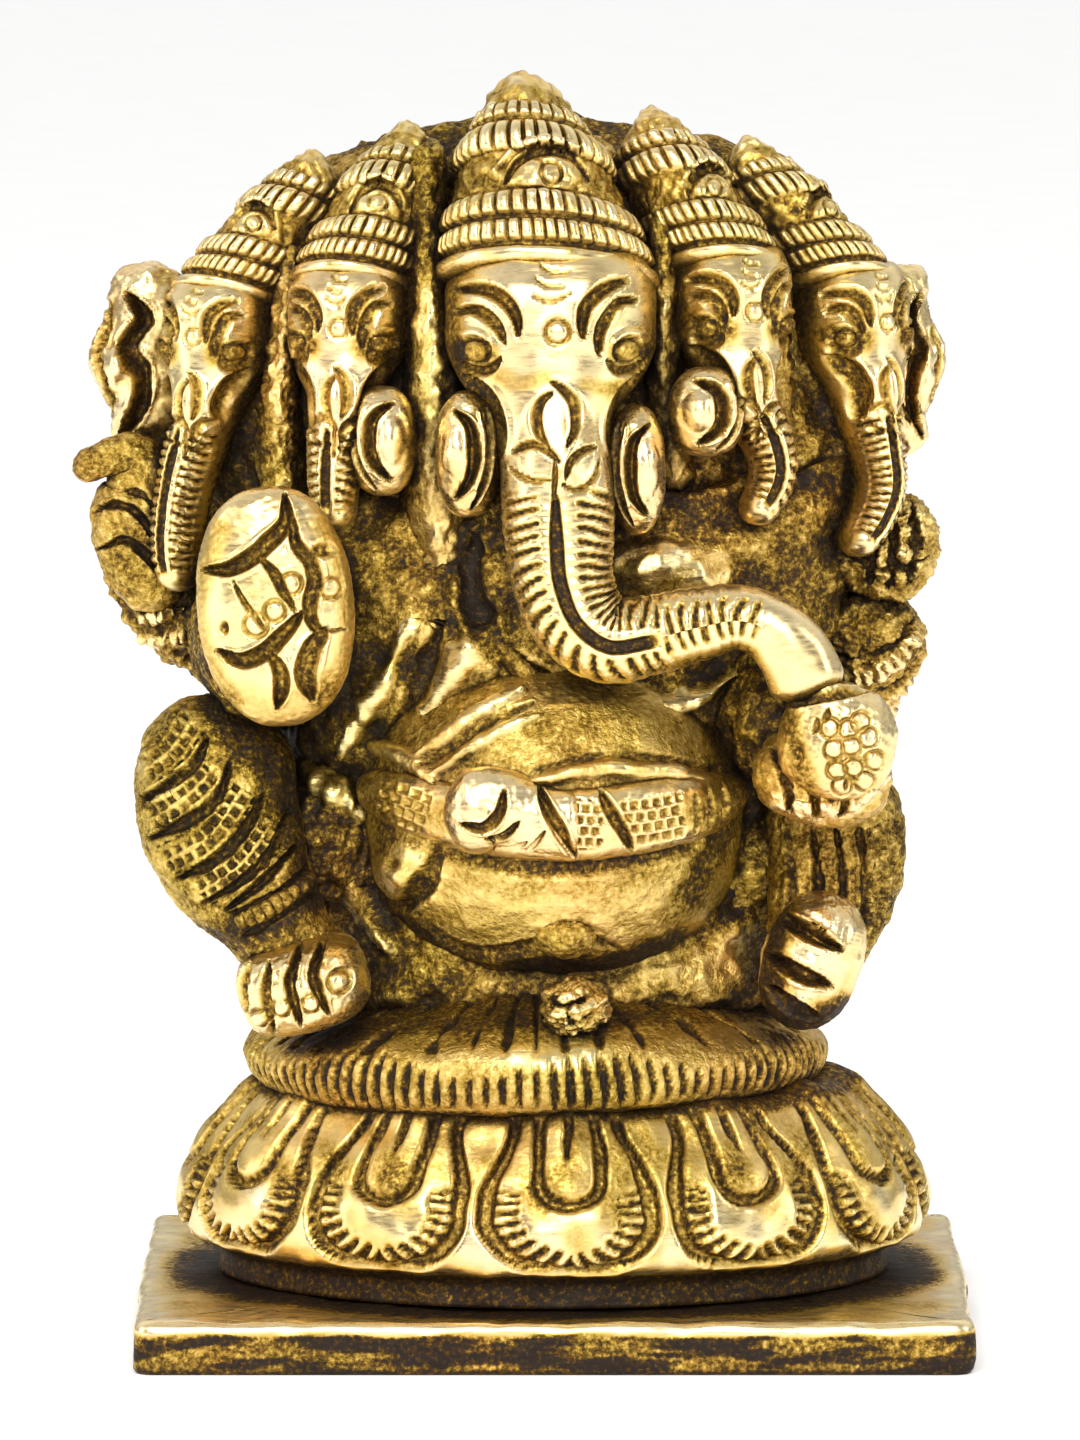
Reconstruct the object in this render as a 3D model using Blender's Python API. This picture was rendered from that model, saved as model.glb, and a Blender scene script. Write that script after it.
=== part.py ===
"""A small cast-brass figurine of a five-headed seated elephant deity, on a lotus, on a plate.

Sizes are in millimetres and become metres where a mesh is made. X runs to the viewer's right,
-Y is the front and Z is up. The origin is the middle of the plinth's underside. The figurine
was built up from separate wax shapes before it was cast, and each such shape is one object
here, with a small seam left between it and the shapes that it is joined to.
"""

import math
from dataclasses import dataclass

import bmesh
import bpy
from mathutils import Matrix, Vector

MM = 0.001
SEAM = 0.3  # gap between one cast shape and the next

# Driving dimensions: the stand.
PLINTH_WIDTH = 59.0
PLINTH_DEPTH = 44.0
PLINTH_HEIGHT = 3.7
PLINTH_EDGE = 0.8
LOTUS_HALF_WIDTH = 26.8
LOTUS_HALF_DEPTH = 20.0
LOTUS_HEIGHT = 13.3
SEAT_HALF_WIDTH = 21.0
SEAT_HALF_DEPTH = 17.6
SEAT_HEIGHT = 5.0
SEAT_SHIFT = -1.2  # the cushion sits a little to the left of the plinth's middle

# Driving dimensions: the figure.
BODY_HALF_WIDTH = 14.5
BODY_FRONT = 15.5
BODY_BACK = 12.0
BODY_HEIGHT = 34.0
HEAD_HALF_WIDTH = 7.7
HEAD_HALF_DEPTH = 7.0
HEAD_HEIGHT = 14.6
CROWN_RADIUS = 8.0
CROWN_HEIGHT = 15.4
FAN_HEIGHT = 28.0

# The sizes that the limbs, hands and small pieces are drawn on.
DRAWN_HALF_WIDTH = 14.5
DRAWN_FRONT = 15.5
DRAWN_HEIGHT = 34.0
DRAWN_SEAT_WIDTH = 21.0
DRAWN_SEAT_DEPTH = 17.6

AROUND = 14  # corners round a stack or an egg
LIMB_AROUND = 10
STAND_AROUND = 32
ROUND_SHARES = (0.45, 0.85)  # shares of a radius at which a limb's round end has rings
WELD = 0.02  # corners this close after a cut are one corner
SHARP_ANGLE = 35.0

LOTUS_BASE = PLINTH_HEIGHT + SEAM
SEAT_BASE = LOTUS_BASE + LOTUS_HEIGHT + SEAM
FLOOR = SEAT_BASE + SEAT_HEIGHT + SEAM  # what the figure sits on
NECK = FLOOR + BODY_HEIGHT + SEAM  # what the heads rise from


def body_fit():
    """From the figure as drawn, z up from the cushion, to the body's own sizes."""
    size = (BODY_HALF_WIDTH / DRAWN_HALF_WIDTH, BODY_FRONT / DRAWN_FRONT,
            BODY_HEIGHT / DRAWN_HEIGHT, 1.0)
    return Matrix.Translation((0, 0, FLOOR)) @ Matrix.Diagonal(size)


def seat_fit():
    """The same for what stands on the cushion, so that it stays on a cushion of any size."""
    size = (SEAT_HALF_WIDTH / DRAWN_SEAT_WIDTH, SEAT_HALF_DEPTH / DRAWN_SEAT_DEPTH,
            BODY_HEIGHT / DRAWN_HEIGHT, 1.0)
    return Matrix.Translation((0, 0, FLOOR)) @ Matrix.Diagonal(size)


# ---------------------------------------------------------------- shapes

def solid_from_rings(rings, start, end):
    """A closed bmesh through rings of points, closed by a point at each end."""
    bm = bmesh.new()
    loops = [[bm.verts.new(point) for point in ring] for ring in rings]
    count = len(loops[0])
    for low, high in zip(loops, loops[1:]):
        for i in range(count):
            j = (i + 1) % count
            bm.faces.new((low[i], low[j], high[j], high[i]))
    for loop, point in ((loops[0], start), (loops[-1], end)):
        pole = bm.verts.new(point)
        for i in range(count):
            bm.faces.new((loop[i], loop[(i + 1) % count], pole))
    bmesh.ops.recalc_face_normals(bm, faces=bm.faces)
    return bm


def oval(centre, across, deep, count):
    """Points of an ellipse round centre; across and deep are its half axes as vectors."""
    turns = [2 * math.pi * i / count for i in range(count)]
    return [centre + across * math.cos(t) + deep * math.sin(t) for t in turns]


def stack(levels, grow, count=AROUND):
    """A body built of level slices: each level is (height, x, y, half width, half depth)."""
    x_axis, y_axis = Vector((1, 0, 0)), Vector((0, 1, 0))
    first, last = levels[0], levels[-1]
    rings = []
    for level in levels:
        height, x, y, wide, deep = level
        rise = -grow if level is first else grow if level is last else 0.0
        centre = Vector((x, y, height + rise))
        rings.append(oval(centre, x_axis * (wide + grow), y_axis * (deep + grow), count))
    bottom = Vector((first[1], first[2], first[0] - grow))
    top = Vector((last[1], last[2], last[0] + grow))
    return solid_from_rings(rings, bottom, top)


def smooth(values, steps):
    """Values with steps spans in place of each one, on a Catmull-Rom curve through them."""
    out = []
    for i in range(len(values) - 1):
        a, b, c, d = (values[min(max(i + k, 0), len(values) - 1)] for k in (-1, 0, 1, 2))
        for step in range(steps):
            t = step / steps
            out.append(((b * 2) + (c - a) * t + (a * 2 - b * 5 + c * 4 - d) * t**2
                        + (b * 3 - a - c * 3 + d) * t**3) * 0.5)
    return out + [values[-1]]


def limb(points, radii, grow, flat=1.0, facing=(0, 1, 0), steps=2):
    """A round-ended limb along points. flat is its thickness along facing over its width."""
    path = smooth([Vector(p) for p in points], steps)
    radii = smooth(list(radii), steps)
    facing = Vector(facing).normalized()
    frames = []
    for i, (point, radius) in enumerate(zip(path, radii)):
        along = (path[min(i + 1, len(path) - 1)] - path[max(i - 1, 0)]).normalized()
        side = along.cross(facing).normalized()
        frames.append((point, along, side * (radius + grow),
                       side.cross(along).normalized() * (radius * flat + grow)))
    rings = []
    first, last = frames[0], frames[-1]
    for share in ROUND_SHARES:
        back = first[1] * first[3].length * math.sqrt(1 - share**2)
        rings.append(oval(first[0] - back, first[2] * share, first[3] * share, LIMB_AROUND))
    rings += [oval(point, side, deep, LIMB_AROUND) for point, _, side, deep in frames]
    for share in reversed(ROUND_SHARES):
        on = last[1] * last[3].length * math.sqrt(1 - share**2)
        rings.append(oval(last[0] + on, last[2] * share, last[3] * share, LIMB_AROUND))
    start = first[0] - first[1] * first[3].length
    end = last[0] + last[1] * last[3].length
    return solid_from_rings(rings, start, end)


def egg(centre, radii, grow, lean=0.0, turn=0.0, count=AROUND):
    """An ellipsoid with half axes radii, leant about Y and then turned about Z, in degrees."""
    bm = bmesh.new()
    bmesh.ops.create_uvsphere(bm, u_segments=count, v_segments=count // 2, radius=1.0)
    size = Matrix.Diagonal([r + grow for r in radii] + [1.0])
    spin = (Matrix.Rotation(math.radians(turn), 4, "Z")
            @ Matrix.Rotation(math.radians(lean), 4, "Y"))
    bm.transform(Matrix.Translation(centre) @ spin @ size)
    return bm


def turned(profile, depth_share, grow, shift=0.0):
    """A lathe shape about Z, flattened front to back; profile is (radius, height), bottom up."""
    levels = [(z, shift, 0.0, r, r * depth_share) for r, z in profile]
    return stack(levels, grow, STAND_AROUND)


# ---------------------------------------------------------------- the stand

def plinth(grow):
    """The rectangular plate that the figurine stands on."""
    bm = bmesh.new()
    bmesh.ops.create_cube(bm, size=1.0)
    size = (PLINTH_WIDTH, PLINTH_DEPTH, PLINTH_HEIGHT)
    bm.transform(Matrix.Diagonal([s + 2 * grow for s in size] + [1.0]))
    upper = [e for e in bm.edges if max(v.co.z for v in e.verts) > 0]
    bmesh.ops.bevel(bm, geom=upper, offset=PLINTH_EDGE, segments=2, profile=0.5,
                    affect="EDGES", clamp_overlap=True)
    bm.transform(Matrix.Translation((0, 0, PLINTH_HEIGHT / 2)))
    return bm


def lotus_pedestal(grow):
    """The bulging ring of petals, with a foot that is drawn in under their tips."""
    shares = ((0.9, 0.0), (0.9, 0.14), (0.985, 0.2), (1.0, 0.36), (0.985, 0.52), (0.93, 0.7),
              (0.86, 0.85), (0.79, 1.0))
    profile = [(LOTUS_HALF_WIDTH * r, LOTUS_BASE + LOTUS_HEIGHT * z) for r, z in shares]
    return turned(profile, LOTUS_HALF_DEPTH / LOTUS_HALF_WIDTH, grow)


def seat_cushion(grow):
    """The round cushion on the lotus."""
    shares = ((0.9, 0.0), (0.97, 0.18), (1.0, 0.45), (0.97, 0.75), (0.9, 1.0))
    profile = [(SEAT_HALF_WIDTH * r, SEAT_BASE + SEAT_HEIGHT * z) for r, z in shares]
    return turned(profile, SEAT_HALF_DEPTH / SEAT_HALF_WIDTH, grow, SEAT_SHIFT)


# ---------------------------------------------------------------- the body

def torso(grow):
    """Lap, back, chest and shoulders as one stack of slices on the cushion."""
    # Shares of the body's height, of its half width, and of how far its front comes forward.
    shares = ((0.0, 1.08, 0.56), (0.1, 1.2, 0.62), (0.28, 1.2, 0.6), (0.48, 1.14, 0.54),
              (0.66, 1.22, 0.56), (0.84, 1.4, 0.56), (1.0, 1.46, 0.5))
    levels = []
    for rise, across, forward in shares:
        front = -BODY_FRONT * forward
        back = BODY_BACK * (0.84 + 0.12 * rise)
        levels.append((FLOOR + BODY_HEIGHT * rise, 0.0, (front + back) / 2,
                       BODY_HALF_WIDTH * across, (back - front) / 2))
    return stack(levels, grow)


def belly(grow):
    """The round belly in front of the lap and chest."""
    deep = 0.78 * BODY_FRONT
    centre = Vector((0, deep - BODY_FRONT, FLOOR + 0.456 * BODY_HEIGHT))
    return egg(centre, (0.92 * BODY_HALF_WIDTH, deep, 0.304 * BODY_HEIGHT), grow, count=20)


def head_fan(grow):
    """The mass behind the five heads, which joins them into a fan."""
    shares = ((0.0, 2.85), (0.16, 3.2), (0.38, 3.3), (0.58, 2.95), (0.77, 2.2), (0.92, 1.35),
              (1.0, 0.7))
    levels = []
    for rise, half in shares:
        deep = 0.62 * BODY_BACK * (1 - 0.3 * rise)
        levels.append((NECK + FAN_HEIGHT * rise, -0.15 * HEAD_HALF_WIDTH,
                       BODY_BACK - deep - 0.5 * rise, HEAD_HALF_WIDTH * half, deep))
    return stack(levels, grow)


def snake_girdle(grow):
    """The snake tied round the belly, from its tail on one side to its neck on the other."""
    turns = [math.radians(-164 + 148 * i / 8) for i in range(9)]
    points = [(13.9 * math.cos(t), 12.2 * math.sin(t) - 3.5, 15.4) for t in turns]
    return limb(points, [1.2] * len(points), grow, flat=1.75, facing=(0, 0, 1))


def snake_head(grow):
    """The snake's blunt head, lying on its own coil."""
    return egg((-4.6, -15.6, 16.2), (3.4, 2.3, 2.9), grow, lean=12)


def navel(grow):
    """The small boss below the girdle."""
    return egg((0.8, -11.4, 7.2), (1.9, 2.2, 1.4), grow, count=LIMB_AROUND)


def mouse(grow):
    """The little mouse that sits between the feet."""
    half_height = 2.2
    return egg((1.3, -14.6, half_height), (2.2, 2.6, half_height), grow, count=LIMB_AROUND)


# ---------------------------------------------------------------- legs and feet

def right_thigh(grow):
    """The thigh on the viewer's left, from the lap out to the raised knee."""
    points = ((-11.0, 0.5, 9.0), (-16.5, -1.0, 13.0), (-21.0, -2.6, 16.0))
    return limb(points, (4.8, 5.4, 5.2), grow)


def right_leg(grow):
    """The shin on the viewer's left, from its round knee down to the ankle."""
    points = ((-24.0, -4.8, 17.4), (-23.6, -6.2, 13.8), (-21.8, -7.6, 10.2),
              (-19.6, -8.6, 6.8))
    return limb(points, (5.2, 5.7, 5.0, 3.6), grow)


def right_foot(grow):
    """The foot on the viewer's left, toes to the front."""
    points = ((-18.6, -7.6, 3.8), (-18.0, -10.6, 3.1), (-17.4, -13.2, 2.6))
    return limb(points, (4.0, 4.8, 4.6), grow, flat=0.55, facing=(0.1, 0.2, 1))


def left_thigh(grow):
    """The thigh on the viewer's right."""
    points = ((10.5, 0.5, 8.0), (14.4, -1.0, 10.6), (17.6, -2.4, 12.0))
    return limb(points, (4.6, 4.9, 4.7), grow)


def left_leg(grow):
    """The shin on the viewer's right, mostly behind the offering hand."""
    points = ((19.6, -4.0, 13.2), (19.9, -5.4, 10.4), (18.6, -7.0, 6.8))
    return limb(points, (4.5, 4.6, 3.5), grow)


def left_foot(grow):
    """The upturned foot on the viewer's right."""
    points = ((15.4, -7.6, 2.8), (17.8, -10.0, 5.0), (19.6, -11.2, 7.0))
    return limb(points, (3.2, 3.8, 3.0), grow, flat=0.85, facing=(0.6, 0.5, -1))


# ---------------------------------------------------------------- arms and hands

def raised_hand(grow):
    """The open palm, held up on the viewer's left."""
    return egg((-19.5, -13.6, 30.4), (5.4, 2.9, 8.4), grow, lean=-5)


def raised_forearm(grow):
    """The forearm behind the raised palm."""
    points = ((-20.8, -2.4, 25.4), (-20.4, -6.4, 27.0), (-19.4, -10.4, 28.8))
    return limb(points, (5.0, 5.3, 4.8), grow)


def raised_upper_arm(grow):
    """The upper arm on the viewer's left, down from the shoulder to the elbow."""
    points = ((-14.8, 2.0, 29.0), (-17.4, 0.6, 26.6), (-20.0, -1.0, 25.0))
    return limb(points, (6.0, 6.0, 5.2), grow)


def offering_arm(grow):
    """The forearm on the viewer's right, which holds out the bowl."""
    points = ((13.6, 0.5, 24.0), (16.2, -6.0, 21.6), (18.6, -10.6, 20.0))
    return limb(points, (5.6, 5.0, 4.2), grow, facing=(0, 0, 1))


def offering_hand(grow):
    """The cupped hand under the bowl of sweets."""
    return egg((18.9, -13.4, 18.4), (4.9, 3.4, 3.3), grow, lean=8)


def sweet_bowl(grow):
    """The heap of sweets in the hand, touched by the trunk's tip."""
    return egg((19.9, -15.0, 20.9), (4.3, 3.4, 4.2), grow, lean=14)


def rear_arm_left(grow):
    """The rear arm on the viewer's left."""
    points = ((-20.0, 3.4, 25.0), (-25.6, 2.0, 28.4), (-29.6, 0.8, 33.2))
    return limb(points, (3.2, 3.4, 2.8), grow)


def conch(grow):
    """The curled shell in the rear hand on the viewer's left."""
    points = ((-31.6, -0.4, 35.4), (-30.4, -0.8, 37.6), (-27.8, -1.4, 38.6))
    return limb(points, (2.0, 2.1, 1.6), grow)


def rear_arm_right(grow):
    """The rear arm on the viewer's right, with its bracelets."""
    points = ((16.6, 3.4, 22.0), (20.4, 1.4, 25.2), (22.8, -0.4, 28.4))
    return limb(points, (3.4, 3.5, 3.0), grow)


def lotus_bud(grow):
    """The bud in the rear hand on the viewer's right."""
    return egg((23.6, -1.0, 33.2), (3.6, 3.4, 3.8), grow, lean=18)


# ---------------------------------------------------------------- the five heads

@dataclass(frozen=True)
class Head:
    """One elephant head. Its places are shares of the centre head's half width."""

    name: str
    across: float
    back: float
    rise: float  # of its middle over the neck
    turn: float  # degrees it is turned to the viewer's right
    lean: float  # degrees its crown leans to the viewer's right
    scale: float
    trunk: tuple  # (across, forward, down) from its middle, in shares of its own half width
    trunk_radii: tuple
    ears: tuple  # (across, forward, down, half width, half height) of each ear that shows

    def unit(self):
        """This head's own half width."""
        return HEAD_HALF_WIDTH * self.scale

    def place(self):
        """From the head's own frame, which faces -Y, to the figurine's."""
        spot = (self.across * HEAD_HALF_WIDTH, self.back * HEAD_HALF_WIDTH,
                NECK + self.rise * HEAD_HALF_WIDTH)
        return Matrix.Translation(spot) @ Matrix.Rotation(math.radians(self.turn), 4, "Z")


HEADS = (
    Head("centre", -0.04, -0.84, 1.76, 0, 0, 1.0, (), (),
         ((-0.74, 0.5, 0.92, 0.3, 0.56), (0.78, 0.5, 1.0, 0.28, 0.54))),
    Head("inner_left", -1.68, -0.36, 1.76, -12, 14, 0.8,
         ((0.0, 1.0, 0.6), (0.0, 1.1, 1.2), (0.02, 1.06, 1.76)), (0.42, 0.38, 0.28),
         ((0.66, 0.62, 1.06, 0.34, 0.7),)),
    Head("inner_right", 1.5, -0.36, 1.82, 20, -22, 0.8,
         ((0.0, 1.0, 0.6), (-0.02, 1.1, 1.2), (-0.34, 1.06, 2.04)), (0.42, 0.34, 0.24),
         ((-0.62, 0.7, 0.92, 0.4, 0.52),)),
    Head("outer_left", -2.78, 0.12, 1.6, -32, 24, 0.74,
         ((0.0, 1.0, 0.6), (0.02, 1.14, 1.6), (0.06, 1.04, 2.7)), (0.44, 0.36, 0.3),
         ((-0.98, 0.05, 0.06, 0.42, 1.2),)),
    Head("outer_right", 2.56, 0.12, 1.68, 34, -26, 0.74,
         ((0.0, 1.0, 0.6), (-0.04, 1.14, 1.6), (-0.34, 1.04, 2.5)), (0.44, 0.34, 0.26),
         ((0.96, 0.05, 0.2, 0.4, 1.2),)),
)
CROWN_SEAT = 0.62  # share of its half width that a crown's middle is above its head's
CROWN_TIP_BACK = 20.0  # degrees that a crown is tipped to the rear


def skull(head, grow):
    """A head from its jaw to its brow, without trunk, ears and crown."""
    wide, deep = head.unit(), HEAD_HALF_DEPTH * head.scale
    shares = ((-0.42, 0.56, 0.8), (-0.3, 0.72, 0.9), (-0.08, 0.95, 1.0), (0.14, 1.0, 1.02),
              (0.36, 0.97, 1.0), (0.58, 0.9, 0.92))
    levels = [(HEAD_HEIGHT * head.scale * z, 0.0, 0.0, wide * across, deep * forward)
              for z, across, forward in shares]
    bm = stack(levels, grow)
    bm.transform(head.place())
    return bm


def crown(head, grow):
    """A tall tiered crown, tipped back on its head."""
    shares = ((0.92, 0.0), (1.0, 0.06), (1.0, 0.12), (0.97, 0.3), (0.84, 0.37), (0.78, 0.58),
              (0.64, 0.68), (0.46, 0.82), (0.2, 0.96), (0.08, 1.0))
    radius, height = CROWN_RADIUS * head.scale, CROWN_HEIGHT * head.scale
    bm = stack([(height * z, 0.0, 0.0, radius * r, radius * r) for r, z in shares], grow)
    seat = Matrix.Translation((0, -0.04 * head.unit(), CROWN_SEAT * head.unit()))
    upright = head.place() @ seat
    tilt = (Matrix.Rotation(math.radians(head.lean), 4, "Y")
            @ Matrix.Rotation(-math.radians(CROWN_TIP_BACK), 4, "X"))
    bm.transform(Matrix.Translation(upright.translation) @ tilt)
    return bm


def side_trunk(head, grow):
    """The short trunk of a side head."""
    unit = head.unit()
    points = [Vector((across * unit, -forward * unit, -down * unit))
              for across, forward, down in head.trunk]
    bm = limb(points, [r * unit for r in head.trunk_radii], grow)
    bm.transform(head.place())
    return bm


# Where the long trunk passes the chest, from its fall to its tip at the bowl.
TRUNK_ROUTE = ((0.9, -15.0, 33.4), (2.4, -15.6, 29.4), (5.6, -15.8, 27.6), (9.4, -15.8, 28.5),
               (13.2, -15.8, 29.4), (16.4, -15.8, 28.2))


def centre_trunk(grow):
    """The long trunk of the centre head, which hangs down and swings to the bowl."""
    root = HEADS[0].place().translation
    unit = HEAD_HALF_WIDTH
    points = (root + Vector((0.07 * unit, -0.88 * unit, -0.66 * unit)),
              root + Vector((0.09 * unit, -1.06 * unit, -1.3 * unit)),
              *(body_fit() @ Vector(place) for place in TRUNK_ROUTE))
    return limb(points, (4.0, 3.9, 3.8, 3.7, 3.1, 2.5, 2.1, 2.2), grow)


def ear(head, index, grow):
    """A flat oval ear."""
    across, forward, down, wide, tall = (share * head.unit() for share in head.ears[index])
    thick = 0.26 * head.unit()
    centre = Vector((across, -forward, -down))
    lean = -6 if across < 0 else 6
    bm = egg(centre, (wide, thick, tall), grow, lean)
    bm.transform(head.place())
    return bm


# ---------------------------------------------------------------- making objects

def brass(name, colour, roughness):
    """A cast-brass material."""
    material = bpy.data.materials.new(name)
    material.use_nodes = True
    shader = material.node_tree.nodes["Principled BSDF"]
    shader.inputs["Base Color"].default_value = (*colour, 1.0)
    shader.inputs["Metallic"].default_value = 1.0
    shader.inputs["Roughness"].default_value = roughness
    return material


def object_from(name, bm, material=None):
    """A mesh object from a bmesh in millimetres."""
    bmesh.ops.scale(bm, vec=(MM, MM, MM), verts=bm.verts)
    bmesh.ops.triangulate(bm, faces=bm.faces)
    mesh = bpy.data.meshes.new(name)
    bm.to_mesh(mesh)
    bm.free()
    if material is not None:
        mesh.materials.append(material)
    obj = bpy.data.objects.new(name, mesh)
    bpy.context.scene.collection.objects.link(obj)
    return obj


def boxes_meet(a, b):
    """Whether two objects' boxes overlap by more than a weld."""
    first, second = ([Vector(c) for c in o.bound_box] for o in (a, b))
    least = WELD * MM
    return all(min(p[k] for p in first) + least < max(q[k] for q in second)
               and min(q[k] for q in second) + least < max(p[k] for p in first)
               for k in range(3))


def bodies_of(bm):
    """The connected bodies of a bmesh, as lists of faces."""
    waiting = set(bm.faces)
    while waiting:
        body, edge = [], [waiting.pop()]
        while edge:
            face = edge.pop()
            body.append(face)
            for loop in face.loops:
                for other in loop.edge.link_faces:
                    if other in waiting:
                        waiting.remove(other)
                        edge.append(other)
        yield body


def volume_of(faces):
    """The volume that triangles enclose."""
    return sum(a.dot(b.cross(c)) / 6 for a, b, c in ([v.co for v in f.verts] for f in faces))


def trim(obj, cutters):
    """Cuts the cutters out of an object and keeps its largest body, without the offcuts."""
    for cutter in cutters:
        cut = obj.modifiers.new(cutter.name, "BOOLEAN")
        cut.operation = "DIFFERENCE"
        cut.object = cutter
    graph = bpy.context.evaluated_depsgraph_get()
    mesh = bpy.data.meshes.new_from_object(obj.evaluated_get(graph))
    obj.modifiers.clear()
    bm = bmesh.new()
    bm.from_mesh(mesh)
    bmesh.ops.remove_doubles(bm, verts=bm.verts, dist=WELD * MM)
    bmesh.ops.triangulate(bm, faces=bm.faces)
    for offcut in sorted(bodies_of(bm), key=volume_of)[:-1]:
        bmesh.ops.delete(bm, geom=offcut, context="FACES")
    bmesh.ops.delete(bm, geom=[v for v in bm.verts if not v.link_faces], context="VERTS")
    bm.to_mesh(mesh)
    bm.free()
    obj.data = mesh


def fitted(shape, fit):
    """The shape moved and stretched by fit."""
    def make(grow):
        bm = shape(grow)
        bm.transform(fit())
        return bm
    return make


def pieces():
    """Every piece as (name, shape, finish). One that comes later is cut by the earlier ones."""
    yield "plinth", plinth, "polished"
    yield "lotus_pedestal", lotus_pedestal, "polished"
    yield "seat_cushion", seat_cushion, "aged"
    for shape in (raised_hand, sweet_bowl):
        yield shape.__name__, fitted(shape, body_fit), "polished"
    yield "centre_trunk", centre_trunk, "polished"
    for shape in (offering_hand, snake_head, snake_girdle):
        yield shape.__name__, fitted(shape, body_fit), "polished"
    for shape in (navel, mouse):
        yield shape.__name__, fitted(shape, body_fit), "aged"
    for head in HEADS:
        if head.trunk:
            yield f"{head.name}_trunk", lambda grow, h=head: side_trunk(h, grow), "polished"
    for head in HEADS:
        for index in range(len(head.ears)):
            name = f"{head.name}_ear" + ("_left", "_right")[index] * (len(head.ears) > 1)
            yield name, lambda grow, h=head, i=index: ear(h, i, grow), "polished"
    for head in HEADS:
        yield f"{head.name}_crown", lambda grow, h=head: crown(h, grow), "polished"
        yield f"{head.name}_head", lambda grow, h=head: skull(h, grow), "polished"
    for shape in (conch, lotus_bud, rear_arm_left, rear_arm_right):
        yield shape.__name__, fitted(shape, body_fit), "aged"
    for shape in (right_foot, left_foot):
        yield shape.__name__, fitted(shape, seat_fit), "polished"
    for shape in (right_leg, left_leg):
        yield shape.__name__, fitted(shape, seat_fit), "aged"
    for shape in (raised_forearm, raised_upper_arm, offering_arm):
        yield shape.__name__, fitted(shape, body_fit), "aged"
    yield "belly", belly, "aged"
    for shape in (right_thigh, left_thigh):
        yield shape.__name__, fitted(shape, body_fit), "aged"
    for shape in (torso, head_fan):
        yield shape.__name__, shape, "aged"


def main():
    for obj in list(bpy.data.objects):
        bpy.data.objects.remove(obj)
    finishes = {
        "polished": brass("polished_brass", (0.78, 0.57, 0.26), 0.3),
        "aged": brass("aged_brass", (0.42, 0.29, 0.12), 0.45),
    }
    cutters = []
    for name, shape, finish in pieces():
        obj = object_from(name, shape(0.0), finishes[finish])
        near = [cutter for cutter in cutters if boxes_meet(obj, cutter)]
        if near:
            trim(obj, near)
        cutter = object_from(f"{name}_cutter", shape(SEAM))
        cutter.hide_render = True
        cutter.display_type = "WIRE"
        cutters.append(cutter)
        obj.data.shade_smooth()
        obj.data.set_sharp_from_angle(angle=math.radians(SHARP_ANGLE))
    for cutter in cutters:
        bpy.data.objects.remove(cutter)


main()
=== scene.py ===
"""The finished look of a small cast-brass figurine: an elephant deity with five heads, seated.

The figurine stands on a lotus and a plate. It was built up from separate wax shapes, cast in
one pour, chased with punches and gouges, and rubbed bright where a hand reaches. Each shape is
one piece here, as in the frame. Lengths are in millimetres and become metres where a mesh is
made. X runs to the viewer's right, -Y is the front and Z is up.
"""

import logging
import math
from dataclasses import dataclass, replace
from enum import Enum

import bpy
import numpy as np
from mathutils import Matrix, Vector

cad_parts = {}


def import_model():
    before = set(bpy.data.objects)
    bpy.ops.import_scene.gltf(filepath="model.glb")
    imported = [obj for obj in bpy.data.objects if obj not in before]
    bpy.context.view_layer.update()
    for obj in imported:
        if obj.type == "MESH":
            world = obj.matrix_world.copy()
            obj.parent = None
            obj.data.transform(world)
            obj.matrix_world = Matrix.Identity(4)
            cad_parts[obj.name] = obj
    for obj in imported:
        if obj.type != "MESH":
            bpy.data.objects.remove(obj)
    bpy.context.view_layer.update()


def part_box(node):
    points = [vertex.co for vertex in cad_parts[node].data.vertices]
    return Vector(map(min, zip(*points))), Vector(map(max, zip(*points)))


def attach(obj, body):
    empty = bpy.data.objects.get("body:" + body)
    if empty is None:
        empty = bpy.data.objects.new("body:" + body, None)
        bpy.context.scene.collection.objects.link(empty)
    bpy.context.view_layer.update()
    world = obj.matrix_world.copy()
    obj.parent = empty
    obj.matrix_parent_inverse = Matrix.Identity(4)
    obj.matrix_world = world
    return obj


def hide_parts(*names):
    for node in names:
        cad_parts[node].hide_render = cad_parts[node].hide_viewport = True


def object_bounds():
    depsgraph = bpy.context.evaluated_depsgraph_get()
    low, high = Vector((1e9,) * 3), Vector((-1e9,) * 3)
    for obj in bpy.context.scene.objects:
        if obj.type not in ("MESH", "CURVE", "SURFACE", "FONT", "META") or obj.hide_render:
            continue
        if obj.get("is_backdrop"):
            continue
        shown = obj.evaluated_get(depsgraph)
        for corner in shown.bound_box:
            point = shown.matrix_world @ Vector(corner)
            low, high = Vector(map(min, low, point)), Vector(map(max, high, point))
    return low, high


Array = np.ndarray
Point = tuple[float, ...]
Route = tuple[Point, ...]

MM = 0.001
BODY = "root"
# How dark each point is, from stains, tarnish and wear, with painted shade on sides, backs and undersides
# added in.
STAIN_AND_SHADE = "stain"  # the point attribute that says how dark the brass is, 0 bright to 1 dark
log = logging.getLogger("figurine")


# ---------------------------------------------------------------- geometry helpers

def middle(node: str) -> Array:
    """The middle of a frame node's box, in millimetres."""
    low, high = (np.array(corner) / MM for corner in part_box(node))
    return (low + high) / 2


def half_size(node: str) -> Array:
    """Half the size of a frame node's box, in millimetres."""
    low, high = (np.array(corner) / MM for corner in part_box(node))
    return (high - low) / 2


def cos_sin(degrees: float) -> tuple[float, float]:
    """The cosine and the sine of an angle in degrees."""
    return math.cos(math.radians(degrees)), math.sin(math.radians(degrees))


def heading(degrees: float) -> Array:
    """The unit vector that faces the front, turned to the viewer's right by so many degrees."""
    c, s = cos_sin(degrees)
    return np.array([s, -c, 0.0])


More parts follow.
